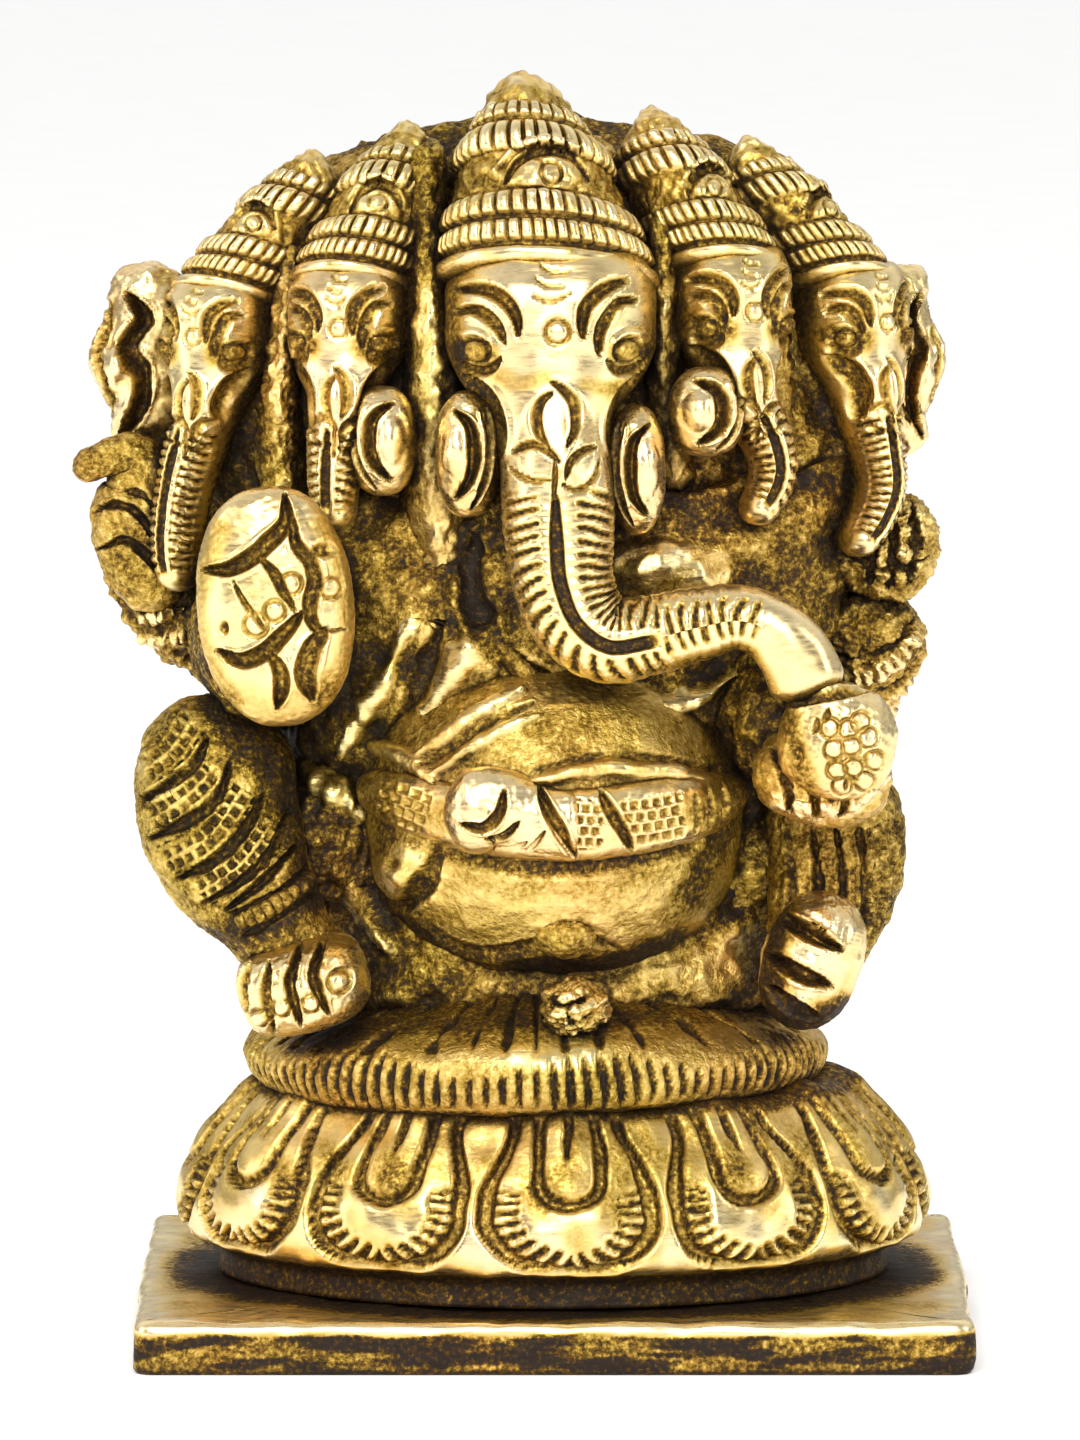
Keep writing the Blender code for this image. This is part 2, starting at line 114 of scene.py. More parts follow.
def ease(low: float, high: float, values: Array) -> Array:
    """A smooth step: 0 below low, 1 above high, and 3t^2 - 2t^3 between them.

    Args:
        low: Where the step starts.
        high: Where it ends; it may be below low, which turns the step round.
        values: What is stepped.

    Returns:
        The stepped values, 0 to 1.
    """
    share = np.clip((values - low) / (high - low), 0.0, 1.0)
    return share * share * (3.0 - 2.0 * share)


def spline(rows: Array, count: int) -> Array:
    """Rows on a smooth curve through the given rows, evenly spaced along it.

    Each span is a cubic between two rows, with the slope at a row taken from its neighbours.

    Args:
        rows: One row per place; the first two or three numbers are where it is.
        count: How many rows to return.

    Returns:
        An array of count rows.
    """
    rows = np.asarray(rows, float)
    steps = np.linalg.norm(np.diff(rows[:, :3], axis=0), axis=1)
    reach = np.concatenate([[0.0], np.cumsum(np.maximum(steps, 1e-6))])
    slope = np.gradient(rows, reach, axis=0)
    at = np.linspace(0.0, reach[-1], count)
    i = np.clip(np.searchsorted(reach, at, side="right") - 1, 0, len(rows) - 2)
    span = (reach[i + 1] - reach[i])[:, None]
    t = (at - reach[i])[:, None] / span
    return ((2 * t**3 - 3 * t**2 + 1) * rows[i] + (t**3 - 2 * t**2 + t) * span * slope[i]
            + (3 * t**2 - 2 * t**3) * rows[i + 1] + (t**3 - t**2) * span * slope[i + 1])


def angles(columns: int, crowd: float) -> Array:
    """Angles round a section, 0 at its front, closer together there by the share crowd."""
    even = (np.arange(columns) / columns * 2.0 - 1.0) * np.pi
    return even - crowd * np.sin(even)


def lumps(points: Array, size: float, seed: int) -> Array:
    """Unevenness of a hand-made surface: sines along seeded random directions, added up.

    Args:
        points: Where it is worked out, with three coordinates in the last axis.
        size: The usual distance from one lump to the next.
        seed: Which unevenness it is.

    Returns:
        Values of about -1 to 1, in the shape of points without its last axis.
    """
    draw = np.random.default_rng(seed)
    waves = 9
    way = draw.normal(size=(waves, 3))
    way /= np.linalg.norm(way, axis=1)[:, None]
    way *= (2 * np.pi / size) * draw.uniform(0.6, 1.5, (waves, 1))
    phase = draw.uniform(0, 2 * np.pi, waves)
    return np.sin(points @ way.T + phase).sum(axis=-1) / math.sqrt(waves) * 0.8


def sweep(stations: Array, rows: int, columns: int, crowd: float = 0.35,
          facing: Array | Point = (0.0, -1.0, 0.0), upright: bool = False,
          caps: tuple[float, float] = (0.0, 0.0), blunt: float = 1.0) -> Array:
    """An oval section carried along a path.

    A point is the path's point, plus wide * sin(angle) to the side, plus deep * cos(angle) to
    the front, with the side square to the path and to the way it faces.

    Args:
        stations: Rows of x, y, z, half width and half depth along the path.
        rows: Sections along it.
        columns: Points round a section.
        crowd: How much closer the points are at the front.
        facing: The way the sections' fronts face, one for all or one per row.
        upright: Whether the front is exactly that way, and not square to the path.
        caps: Length of the round end at the start and at the end.
        blunt: The power that the sine and cosine are raised to; under 1 makes it boxier.

    Returns:
        Points as an array of rows by columns by 3.
    """
    line = spline(stations, rows)
    centre, wide, deep = line[:, :3], line[:, 3], line[:, 4]
    along = np.gradient(centre, axis=0)
    reach = np.concatenate([[0.0], np.cumsum(np.linalg.norm(np.diff(centre, axis=0), axis=1))])
    face = np.broadcast_to(np.asarray(facing, float), centre.shape)
    side = np.cross(face, along)
    side /= np.linalg.norm(side, axis=1)[:, None]
    front = face if upright else np.cross(along, side)
    front = front / np.linalg.norm(front, axis=1)[:, None]
    for cap, run in zip(caps, (reach, reach[-1] - reach)):
        if cap:
            left = np.clip(1.0 - (run + 0.02 * cap) / cap, 0.0, 1.0)
            wide, deep = wide * np.sqrt(1 - left**2), deep * np.sqrt(1 - left**2)
    turn = angles(columns, crowd)
    across, ahead = (np.sign(f) * np.abs(f) ** blunt for f in (np.sin(turn), np.cos(turn)))
    return (centre[:, None] + (wide[:, None] * across)[..., None] * side[:, None]
            + (deep[:, None] * ahead)[..., None] * front[:, None])


def egg(half: Point, rows: int, columns: int, crowd: float = 0.35, blunt: float = 1.0,
        lean: float = 0.0) -> Array:
    """An ellipsoid about the origin: sines and cosines raised to the power blunt, leant over.

    Args:
        half: Its half axes.
        rows: Rings from its top to its bottom.
        columns: Points round a ring.
        crowd: How much closer the points are at the front.
        blunt: Under 1 makes it boxier.
        lean: Degrees that its top leans to the viewer's right.

    Returns:
        Points as an array of rows by columns by 3.
    """
    fall = np.linspace(0.03, np.pi - 0.03, rows)[:, None]
    turn = angles(columns, crowd)[None, :]
    ring = np.sin(fall) ** blunt
    shape = np.stack([half[0] * ring * np.sin(turn), -half[1] * ring * np.cos(turn),
                      half[2] * np.sign(np.cos(fall)) * np.abs(np.cos(fall)) ** blunt
                      + 0 * turn], axis=-1)
    c, s = cos_sin(lean)
    return shape @ np.array([[c, 0.0, -s], [0.0, 1.0, 0.0], [s, 0.0, c]])


# ---------------------------------------------------------------- tool marks

class Tool(Enum):
    """The tools that the wax and the brass were chased with."""

    GOUGE = "a groove that narrows to both ends"
    LINE = "a groove of one width"
    RIDGE = "a raised line that narrows to both ends"
    BEADS = "a raised line cut across into beads"
    BRICKS = "a band of small square dimples"
    RING = "a round punch, which leaves a ring and a little dome"
    DOME = "a swelling"
    PIT = "a hollow"
    # Dirt rubbed in along a line, and also painted shade along a line, as on the palm's edges, the belly's
    # sides and the girdle's ends.
    DIRT = "grime rubbed in along a line"
    # Rubbed wear along a line, and also a painted highlight along a line, as on the torso's ridges.
    SHINE = "grime rubbed off along a line"


@dataclass(frozen=True)
class Mark:
    """One stroke or stamp on a surface, drawn as it looks from the front of its piece."""

    tool: Tool
    route: Route  # (across, up) of each point, from the piece's own middle
    width: float
    depth: float
    tall: float = 0.0  # height of a swelling or a hollow, where it isn't as wide as high
    pitch: float = 0.8  # from one bead or dimple to the next

    def grown(self, scale: float) -> "Mark":
        """The same mark at another scale."""
        route = tuple(tuple(number * scale for number in point) for point in self.route)
        return replace(self, route=route, width=self.width * scale, depth=self.depth * scale,
                       tall=self.tall * scale, pitch=self.pitch * scale)


def gouges(width: float, depth: float, *routes: Route) -> tuple[Mark, ...]:
    """Grooves of one width and depth, one along each route."""
    return tuple(Mark(Tool.GOUGE, route, width, depth) for route in routes)


def rings(width: float, depth: float, *spots: Point) -> tuple[Mark, ...]:
    """Round punch marks of one diameter, one at each spot."""
    return tuple(Mark(Tool.RING, (spot,), width, depth) for spot in spots)


class Chisel:
    """Works marks into a surface, in coordinates as seen from its front."""

    tip = 0.15  # width of a tapering mark at its two ends, as a share of its full width
    lip = 0.14  # height of the metal thrown up beside a groove, as a share of its depth

    def __init__(self, across: Array, up: Array, shown: Array) -> None:
        """Takes the flat coordinates of each surface point and how far it faces the front."""
        self.across, self.up, self.shown = across, up, shown
        self.cut = np.zeros_like(across)
        self.rise = np.zeros_like(across)
        # Dirt and wear along lines, together with painted shade and painted highlights.
        self.grime = np.zeros_like(across)

    def near(self, route: Route, room: float) -> tuple[Array, Array, Array, Array]:
        """Where surface points lie along a route.

        Args:
            route: The points that the route runs through.
            room: How far from it still counts.

        Returns:
            Which points are near, and for those: the signed distance from the route, the
            share of its length, and the length run along it.
        """
        line = np.asarray(route, float)
        if len(line) > 2:
            line = spline(line, 5 * len(line))
        low, high = line.min(axis=0) - room, line.max(axis=0) + room
        close = ((self.across > low[0]) & (self.across < high[0]) & (self.up > low[1])
                 & (self.up < high[1]) & (self.shown > 0))
        spot = np.stack([self.across[close], self.up[close]], axis=-1)[:, None]
        step = np.diff(line, axis=0)
        length = np.linalg.norm(step, axis=1)
        part = np.clip(((spot - line[:-1]) * step).sum(axis=-1) / length**2, 0.0, 1.0)
        off = spot - line[:-1] - part[..., None] * step
        gap = np.linalg.norm(off, axis=-1)
        best = gap.argmin(axis=1)
        pick = np.arange(len(best))
        signed = step[best, 0] * off[pick, best, 1] - step[best, 1] * off[pick, best, 0]
        starts = np.concatenate([[0.0], np.cumsum(length)[:-1]])
        run = starts[best] + part[pick, best] * length[best]
        return close, gap[pick, best] * np.where(signed < 0, -1.0, 1.0), run / length.sum(), run

    def work(self, mark: Mark) -> None:
        """Adds one mark; a later groove runs through an earlier one and never deepens it.

        Args:
            mark: The stroke or stamp to add.
        """
        if mark.tool in (Tool.RING, Tool.DOME, Tool.PIT):
            self.stamp(mark)
            return
        close, gap, share, run = self.near(mark.route, mark.width)
        half = np.full(share.shape, mark.width / 2)
        if mark.tool in (Tool.GOUGE, Tool.RIDGE):
            half = half * (self.tip + (1 - self.tip) * np.sqrt(np.sin(np.pi * np.clip(share, 0.01, 0.99))))
        offset = np.abs(gap) / half
        # Darkens along the line for dirt and painted shade, and lightens it for wear and painted highlights.
        if mark.tool in (Tool.DIRT, Tool.SHINE):
            sign = 1.0 if mark.tool is Tool.DIRT else -1.0
            self.grime[close] += sign * mark.depth * ease(1.0, 0.2, offset)
        elif mark.tool in (Tool.GOUGE, Tool.LINE):
            valley = mark.depth * np.clip(1 - offset**2, 0, 1) ** 0.8
            self.cut[close] = np.maximum(self.cut[close], valley)
            lip = self.lip * mark.depth * ease(0.4, 0.0, np.abs(offset - 1.2))
            self.rise[close] = np.maximum(self.rise[close], lip * (valley <= 0))
        elif mark.tool is Tool.BRICKS:
            row = gap / mark.pitch
            column = run / mark.pitch + 0.5 * (np.floor(row) % 2)
            edge = np.maximum(np.abs(column % 1 * 2 - 1), np.abs(row % 1 * 2 - 1))
            pits = mark.depth * ease(0.9, 0.4, edge) * (offset < 1) * (share > 0) * (share < 1)
            self.cut[close] = np.maximum(self.cut[close], pits)
        else:
            round_top = np.sqrt(np.clip(1 - offset**2, 0, 1)) * mark.depth
            if mark.tool is Tool.BEADS:
                round_top = round_top * np.sqrt(np.abs(np.sin(np.pi * run / mark.pitch)))
            self.rise[close] = np.maximum(self.rise[close], round_top)

    def stamp(self, mark: Mark) -> None:
        """Adds a round mark about the one point of its route.

        Args:
            mark: A ring, a swelling or a hollow.
        """
        across, up = self.across - mark.route[0][0], self.up - mark.route[0][1]
        tall = mark.tall or mark.width
        gap = np.hypot(across / (mark.width / 2), up / (tall / 2))
        if mark.tool is Tool.RING:
            groove = ease(0.28, 0.04, np.abs(gap - 0.92)) * mark.depth
            self.cut = np.maximum(self.cut, groove)
            self.rise = np.maximum(self.rise, mark.depth * 0.6 * np.sqrt(np.clip(1 - gap**2, 0, 1)))
        elif mark.tool is Tool.DOME:
            self.rise = self.rise + mark.depth * np.clip(1 - gap**2, 0, 1) ** 1.5
        else:
            self.cut = np.maximum(self.cut, mark.depth * ease(1.0, 0.3, gap))


# ---------------------------------------------------------------- a piece under work

class Shell:
    """A closed surface on a grid: rows along it, columns round it, each end drawn to a point."""

    def __init__(self, points: Array, stain: float) -> None:
        """Takes points as rows by columns by 3, and how dark the brass starts out."""
        self.points = points
        self.stain = np.full(points.shape[:2], stain)

    def normals(self) -> Array:
        """The surface's normals, from the differences of neighbouring points.

        Returns:
            One unit vector per point, out of the surface.
        """
        along = np.gradient(self.points, axis=0)
        around = np.roll(self.points, -1, axis=1) - np.roll(self.points, 1, axis=1)
        out = np.cross(around, along)
        out /= np.maximum(np.linalg.norm(out, axis=-1, keepdims=True), 1e-9)
        spread = self.points - self.points.mean(axis=1, keepdims=True)
        return out if (spread * out).sum() > 0 else -out

    def move(self, spot: Array, turn: float = 0.0) -> "Shell":
        """Turns the shell about Z by turn degrees and then takes its origin to spot."""
        c, s = cos_sin(turn)
        self.points = self.points @ np.array([[c, s, 0.0], [-s, c, 0.0], [0.0, 0.0, 1.0]]) + spot
        return self

    def chisel(self, spot: Array, turn: float = 0.0, rim: float = 0.05) -> Chisel:
        """A chisel for the side that faces the front, turned about Z by turn degrees.

        Args:
            spot: Where the marks' own coordinates have their zero.
            turn: Degrees that the worked side is turned to the viewer's right.
            rim: How square to the front a surface is before the marks die out on it.

        Returns:
            The chisel, with nothing worked yet.
        """
        c, s = cos_sin(turn)
        offset = self.points - spot
        shown = ease(rim, rim + 0.25, self.normals() @ heading(turn))
        return Chisel(offset @ np.array([c, s, 0.0]), offset[..., 2], shown)

    def carve(self, chisel: Chisel) -> "Shell":
        """Moves the surface along its normals by what the chisel has worked, and stains it, painted shade and
        painted highlights included.

        Args:
            chisel: The chisel that was made for this shell, after its work.

        Returns:
            This shell.
        """
        height = (chisel.rise - chisel.cut) * chisel.shown
        self.points = self.points + self.normals() * height[..., None]
        worn = 1.0 - 0.75 * np.clip(chisel.rise / 0.25, 0, 1) * chisel.shown
        dirt = 0.68 * np.clip(chisel.cut / 0.4, 0, 1) * chisel.shown
        wiped = np.clip(self.stain * worn + chisel.grime * (chisel.shown > 0), 0, 1)
        self.stain = np.maximum(wiped, dirt)
        return self

    def press(self, height: Array) -> "Shell":
        """Moves the surface out by height, one value per point."""
        self.points = self.points + self.normals() * height[..., None]
        return self

    def darken(self, level: Array) -> "Shell":
        """Makes each point at least as dark as level says."""
        self.stain = np.maximum(self.stain, level)
        return self

    def roughen(self, height: float, size: float, seed: int) -> "Shell":
        """Gives the surface the lumps of wax that was shaped by hand, in three sizes.

        Args:
            height: How high the biggest lumps are.
            size: How far apart they are.
            seed: Which unevenness it is.

        Returns:
            This shell, lighter on the lumps than between them.
        """
        rough = (lumps(self.points, size, seed) + 0.5 * lumps(self.points, size / 2.2, seed + 1)
                 + 0.3 * lumps(self.points, size / 5.0, seed + 2))
        self.stain = np.clip(self.stain - 0.12 * rough * min(height / 0.2, 1.5), 0, 1)
        return self.press(height * rough)

    def cast(self, name: str, nodes: tuple[str, ...], slot: "Finish") -> bpy.types.Object:
        """Makes the mesh, puts it in the scene and ties it to the frame.

        Args:
            name: The piece's name.
            nodes: The frame nodes that it stands for.
            slot: The finish it has.

        Returns:
            The new object.
        """
        rows, columns = self.points.shape[:2]
        ends = np.stack([self.points[0].mean(axis=0), self.points[-1].mean(axis=0)])
        corners = np.concatenate([self.points.reshape(-1, 3), ends]) * MM
        index = np.arange(rows * columns).reshape(rows, columns)
        beside = np.roll(index, -1, axis=1)
        quads = np.stack([index[:-1], beside[:-1], beside[1:], index[1:]], axis=-1).reshape(-1, 4)
        first, last = (np.full(columns, rows * columns + k) for k in (0, 1))
        fans = np.concatenate([np.stack([beside[0], index[0], first], axis=-1),
                               np.stack([index[-1], beside[-1], last], axis=-1)])
        about = corners - corners.mean(axis=0)
        a, b, c, d = (about[quads[:, k]] for k in range(4))
        if np.einsum("ij,ij->", a, np.cross(b, c) + np.cross(c, d)) < 0:
            quads, fans = quads[:, ::-1], fans[:, ::-1]
        mesh = bpy.data.meshes.new(name)
        mesh.from_pydata(corners.tolist(), [], quads.tolist() + fans.tolist())
        mesh.polygons.foreach_set("use_smooth", np.ones(len(mesh.polygons), bool))
        stain = np.concatenate([self.stain.ravel(), [self.stain[0].mean(), self.stain[-1].mean()]])
        layer = mesh.attributes.new(STAIN_AND_SHADE, "FLOAT", "POINT")
        layer.data.foreach_set("value", stain.astype(np.float32))
        mesh.update()
        piece = bpy.data.objects.new(name, mesh)
        bpy.context.scene.collection.objects.link(piece)
        mesh.materials.append(slot.material())
        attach(piece, BODY)
        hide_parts(*nodes)
        log.info("%s: %d faces", name, len(mesh.polygons))
        return piece


# ---------------------------------------------------------------- finishes

Socket = bpy.types.NodeSocket
GREENER, REDDER = (0.86, 1.0, 0.6, 1.0), (1.0, 0.84, 0.72, 1.0)


class Graph:
    """A small hand for building a material's or a world's nodes."""

    def __init__(self, tree: bpy.types.NodeTree) -> None:
        """Starts an empty node tree."""
        self.tree = tree
        tree.nodes.clear()

    def add(self, kind: str, settings: dict | None = None, **inputs: object) -> bpy.types.Node:
        """Adds a node.

        Args:
            kind: The node's type name, without ShaderNode.
            settings: Properties of the node itself.
            inputs: Values or sockets for its inputs, spaces in a name written as underscores.

        Returns:
            The node.
        """
        node = self.tree.nodes.new("ShaderNode" + kind)
        for name, value in (settings or {}).items():
            setattr(node, name, value)
        for name, value in inputs.items():
            key = int(name[1:]) if name[0] == "i" and name[1:].isdigit() else name.replace("_", " ")
            if isinstance(value, Socket):
                self.tree.links.new(value, node.inputs[key])
            else:
                node.inputs[key].default_value = value
        return node

    def math(self, operation: str, first: object, second: object = 0.0, clamp: bool = False) -> Socket:
        """The result of one sum on sockets or numbers."""
        node = self.add("Math", {"operation": operation, "use_clamp": clamp}, i0=first, i1=second)
        return node.outputs[0]

    def spread(self, value: Socket, low: float, high: float,
               to_low: float = 0.0, to_high: float = 1.0) -> Socket:
        """Value taken from low..high to to_low..to_high and held there."""
        node = self.add("MapRange", {"interpolation_type": "SMOOTHSTEP"}, Value=value,
                        From_Min=low, From_Max=high, To_Min=to_low, To_Max=to_high)
        return node.outputs[0]


@dataclass(frozen=True)
class CastBrass:
    """Brass with dirt and tarnish in its hollows, a rubbed shine on its heights, and the painted shade and
    highlights of its darkness map.
    """

    name: str
    tarnish: float  # added to how dark it is all over
    cloud: float  # how much the tarnish varies from place to place
    grain: float  # strength of the cast grain in the bump
    green: float  # how much of it has a green cast
    red: float = 0.45  # how much of it has a red cast

    # Colour at each degree of darkness, from rubbed bright to caked in dirt; painted shade takes the same
    # tones.
    tones: tuple[tuple[float, Point], ...] = (
        (0.0, (0.98, 0.79, 0.46)), (0.22, (0.88, 0.62, 0.22)), (0.45, (0.50, 0.32, 0.06)),
        (0.66, (0.17, 0.095, 0.018)), (0.85, (0.045, 0.024, 0.008)), (1.0, (0.018, 0.010, 0.005)))

    def make(self) -> bpy.types.Material:
        """Builds the material.

        Returns:
            A new material of this finish.
        """
        material = bpy.data.materials.new(self.name)
        material.use_nodes = True
        graph = Graph(material.node_tree)
        where = graph.add("TexCoord").outputs["Object"]
        fine = graph.add("TexNoise", Vector=where, Scale=2600.0, Detail=3.0, Roughness=0.65).outputs["Fac"]
        level = self.darkness(graph, where, fine)
        rough, normal = self.surface(graph, where, fine, level)
        shader = graph.add("BsdfPrincipled", Base_Color=self.colour(graph, where, level), Roughness=rough,
                           Metallic=graph.spread(level, 0.6, 1.0, 1.0, 0.55), Normal=normal)
        graph.add("OutputMaterial", Surface=shader.outputs["BSDF"])
        return material

    def darkness(self, graph: Graph, where: Socket, fine: Socket) -> Socket:
        """How dark each spot is: its stains and painted shade, or its cavity, whichever is more, with clouds
        and specks.

        Args:
            graph: The material's nodes.
            where: The place on the piece.
            fine: The finest noise, which gives the specks.

        Returns:
            0 for rubbed bright to 1 for caked in dirt.
        """
        stain = graph.add("Attribute", {"attribute_name": STAIN_AND_SHADE}).outputs["Fac"]
        open_sky = graph.add("AmbientOcclusion", {"samples": 6}, Distance=0.0028).outputs["AO"]
        dirt = graph.spread(open_sky, 0.94, 0.42, 0.0, 0.85)
        clouds = graph.add("TexNoise", Vector=where, Scale=170.0, Detail=5.0, Roughness=0.62)
        sway = graph.math("MULTIPLY", graph.math("SUBTRACT", clouds.outputs["Fac"], 0.5), self.cloud)
        level = graph.math("ADD", graph.math("MAXIMUM", stain, dirt),
                           graph.math("ADD", sway, self.tarnish), clamp=True)
        speck = graph.math("MULTIPLY", graph.math("SUBTRACT", fine, 0.5),
                           graph.spread(level, 0.1, 0.7, 0.12, 1.5))
        return graph.math("ADD", level, speck, clamp=True)

    def colour(self, graph: Graph, where: Socket, level: Socket) -> Socket:
        """The tone at each darkness, greener in some wide patches and redder in others.

        Args:
            graph: The material's nodes.
            where: The place on the piece.
            level: How dark each spot is.

        Returns:
            The base colour.
        """
        ramp = graph.add("ValToRGB", Fac=level)
        stops = ramp.color_ramp.elements
        stops[0].color, stops[1].color = ((*self.tones[end][1], 1.0) for end in (0, -1))
        for place, colour in self.tones[1:-1]:
            stops.new(place).color = (*colour, 1.0)
        patches = graph.add("TexNoise", Vector=where, Scale=70.0, Detail=2.0).outputs["Fac"]
        base = ramp.outputs["Color"]
        for share, cast in ((graph.math("MULTIPLY", graph.spread(patches, 0.42, 0.68), self.green), GREENER),
                            (graph.math("MULTIPLY", graph.spread(patches, 0.5, 0.3), self.red), REDDER)):
            base = graph.add("Mix", {"data_type": "RGBA", "blend_type": "MULTIPLY"},
                             i0=share, i6=base, i7=cast).outputs[2]
        return base

    def surface(self, graph: Graph, where: Socket, fine: Socket, level: Socket) -> tuple[Socket, Socket]:
        """Fine scratches where it is rubbed and a grain from the mould where it is dark.

        Args:
            graph: The material's nodes.
            where: The place on the piece.
            fine: The finest noise, which gives the grain.
            level: How dark each spot is.

        Returns:
            The roughness and the bumped normal.
        """
        stretched = graph.add("Mapping", Vector=where, Scale=(700.0, 2600.0, 5200.0),
                              Rotation=(0.0, 0.5, 0.25))
        files = graph.add("TexNoise", Vector=stretched.outputs["Vector"], Scale=1.0,
                          Detail=2.0).outputs["Fac"]
        rough = graph.math("ADD", graph.spread(level, 0.05, 0.85, 0.31, 0.64),
                           graph.spread(files, 0.35, 0.75, -0.05, 0.1))
        height = graph.math("ADD", graph.math("MULTIPLY", fine, graph.spread(level, 0.1, 0.6, 0.12, 1.0)),
                            graph.math("MULTIPLY", files, 0.22))
        bump = graph.add("Bump", Height=height, Strength=self.grain, Distance=0.00016)
        return rough, bump.outputs["Normal"]


class Finish(Enum):
    """The two finishes, by the names of their slots."""

    POLISHED = "polished_brass"
    AGED = "aged_brass"

    def material(self) -> bpy.types.Material:
        """This finish's material, built the first time that it is asked for."""
        brass = BRASSES[self]
        return bpy.data.materials.get(brass.name) or brass.make()


BRASSES = {
    Finish.POLISHED: CastBrass("brass_rubbed_bright", tarnish=-0.02, cloud=0.42, grain=0.24, green=0.2),
    Finish.AGED: CastBrass("brass_with_tarnish", tarnish=0.06, cloud=0.75, grain=0.8, green=0.45),
}


# ---------------------------------------------------------------- the stand

def rounded_oblong(half: Point, corner: float, columns: int) -> tuple[Array, Array]:
    """An oblong with round corners, from its core and the way out from the core.

    Args:
        half: Half its width and half its depth.
        corner: Its corners' radius.
        columns: Points round it, evenly spaced.

    Returns:
        The core's points and the unit vectors that point out from them.
    """
    x, y = half[0] - corner, half[1] - corner
    quarter = corner * np.pi / 2
    stops = np.cumsum([0, y, quarter, 2 * x, quarter, 2 * y, quarter, 2 * x, quarter, y])
    core_x = [x, x, x, -x, -x, -x, -x, x, x, x]
    core_y = [0, y, y, y, y, -y, -y, -y, -y, 0]
    turn = np.array([0, 0, 1, 1, 2, 2, 3, 3, 4, 4]) * np.pi / 2
    run = np.arange(columns) / columns * stops[-1]
    core = np.stack([np.interp(run, stops, core_x), np.interp(run, stops, core_y)], axis=-1)
    angle = np.interp(run, stops, turn)
    return core, np.stack([np.cos(angle), np.sin(angle)], axis=-1)


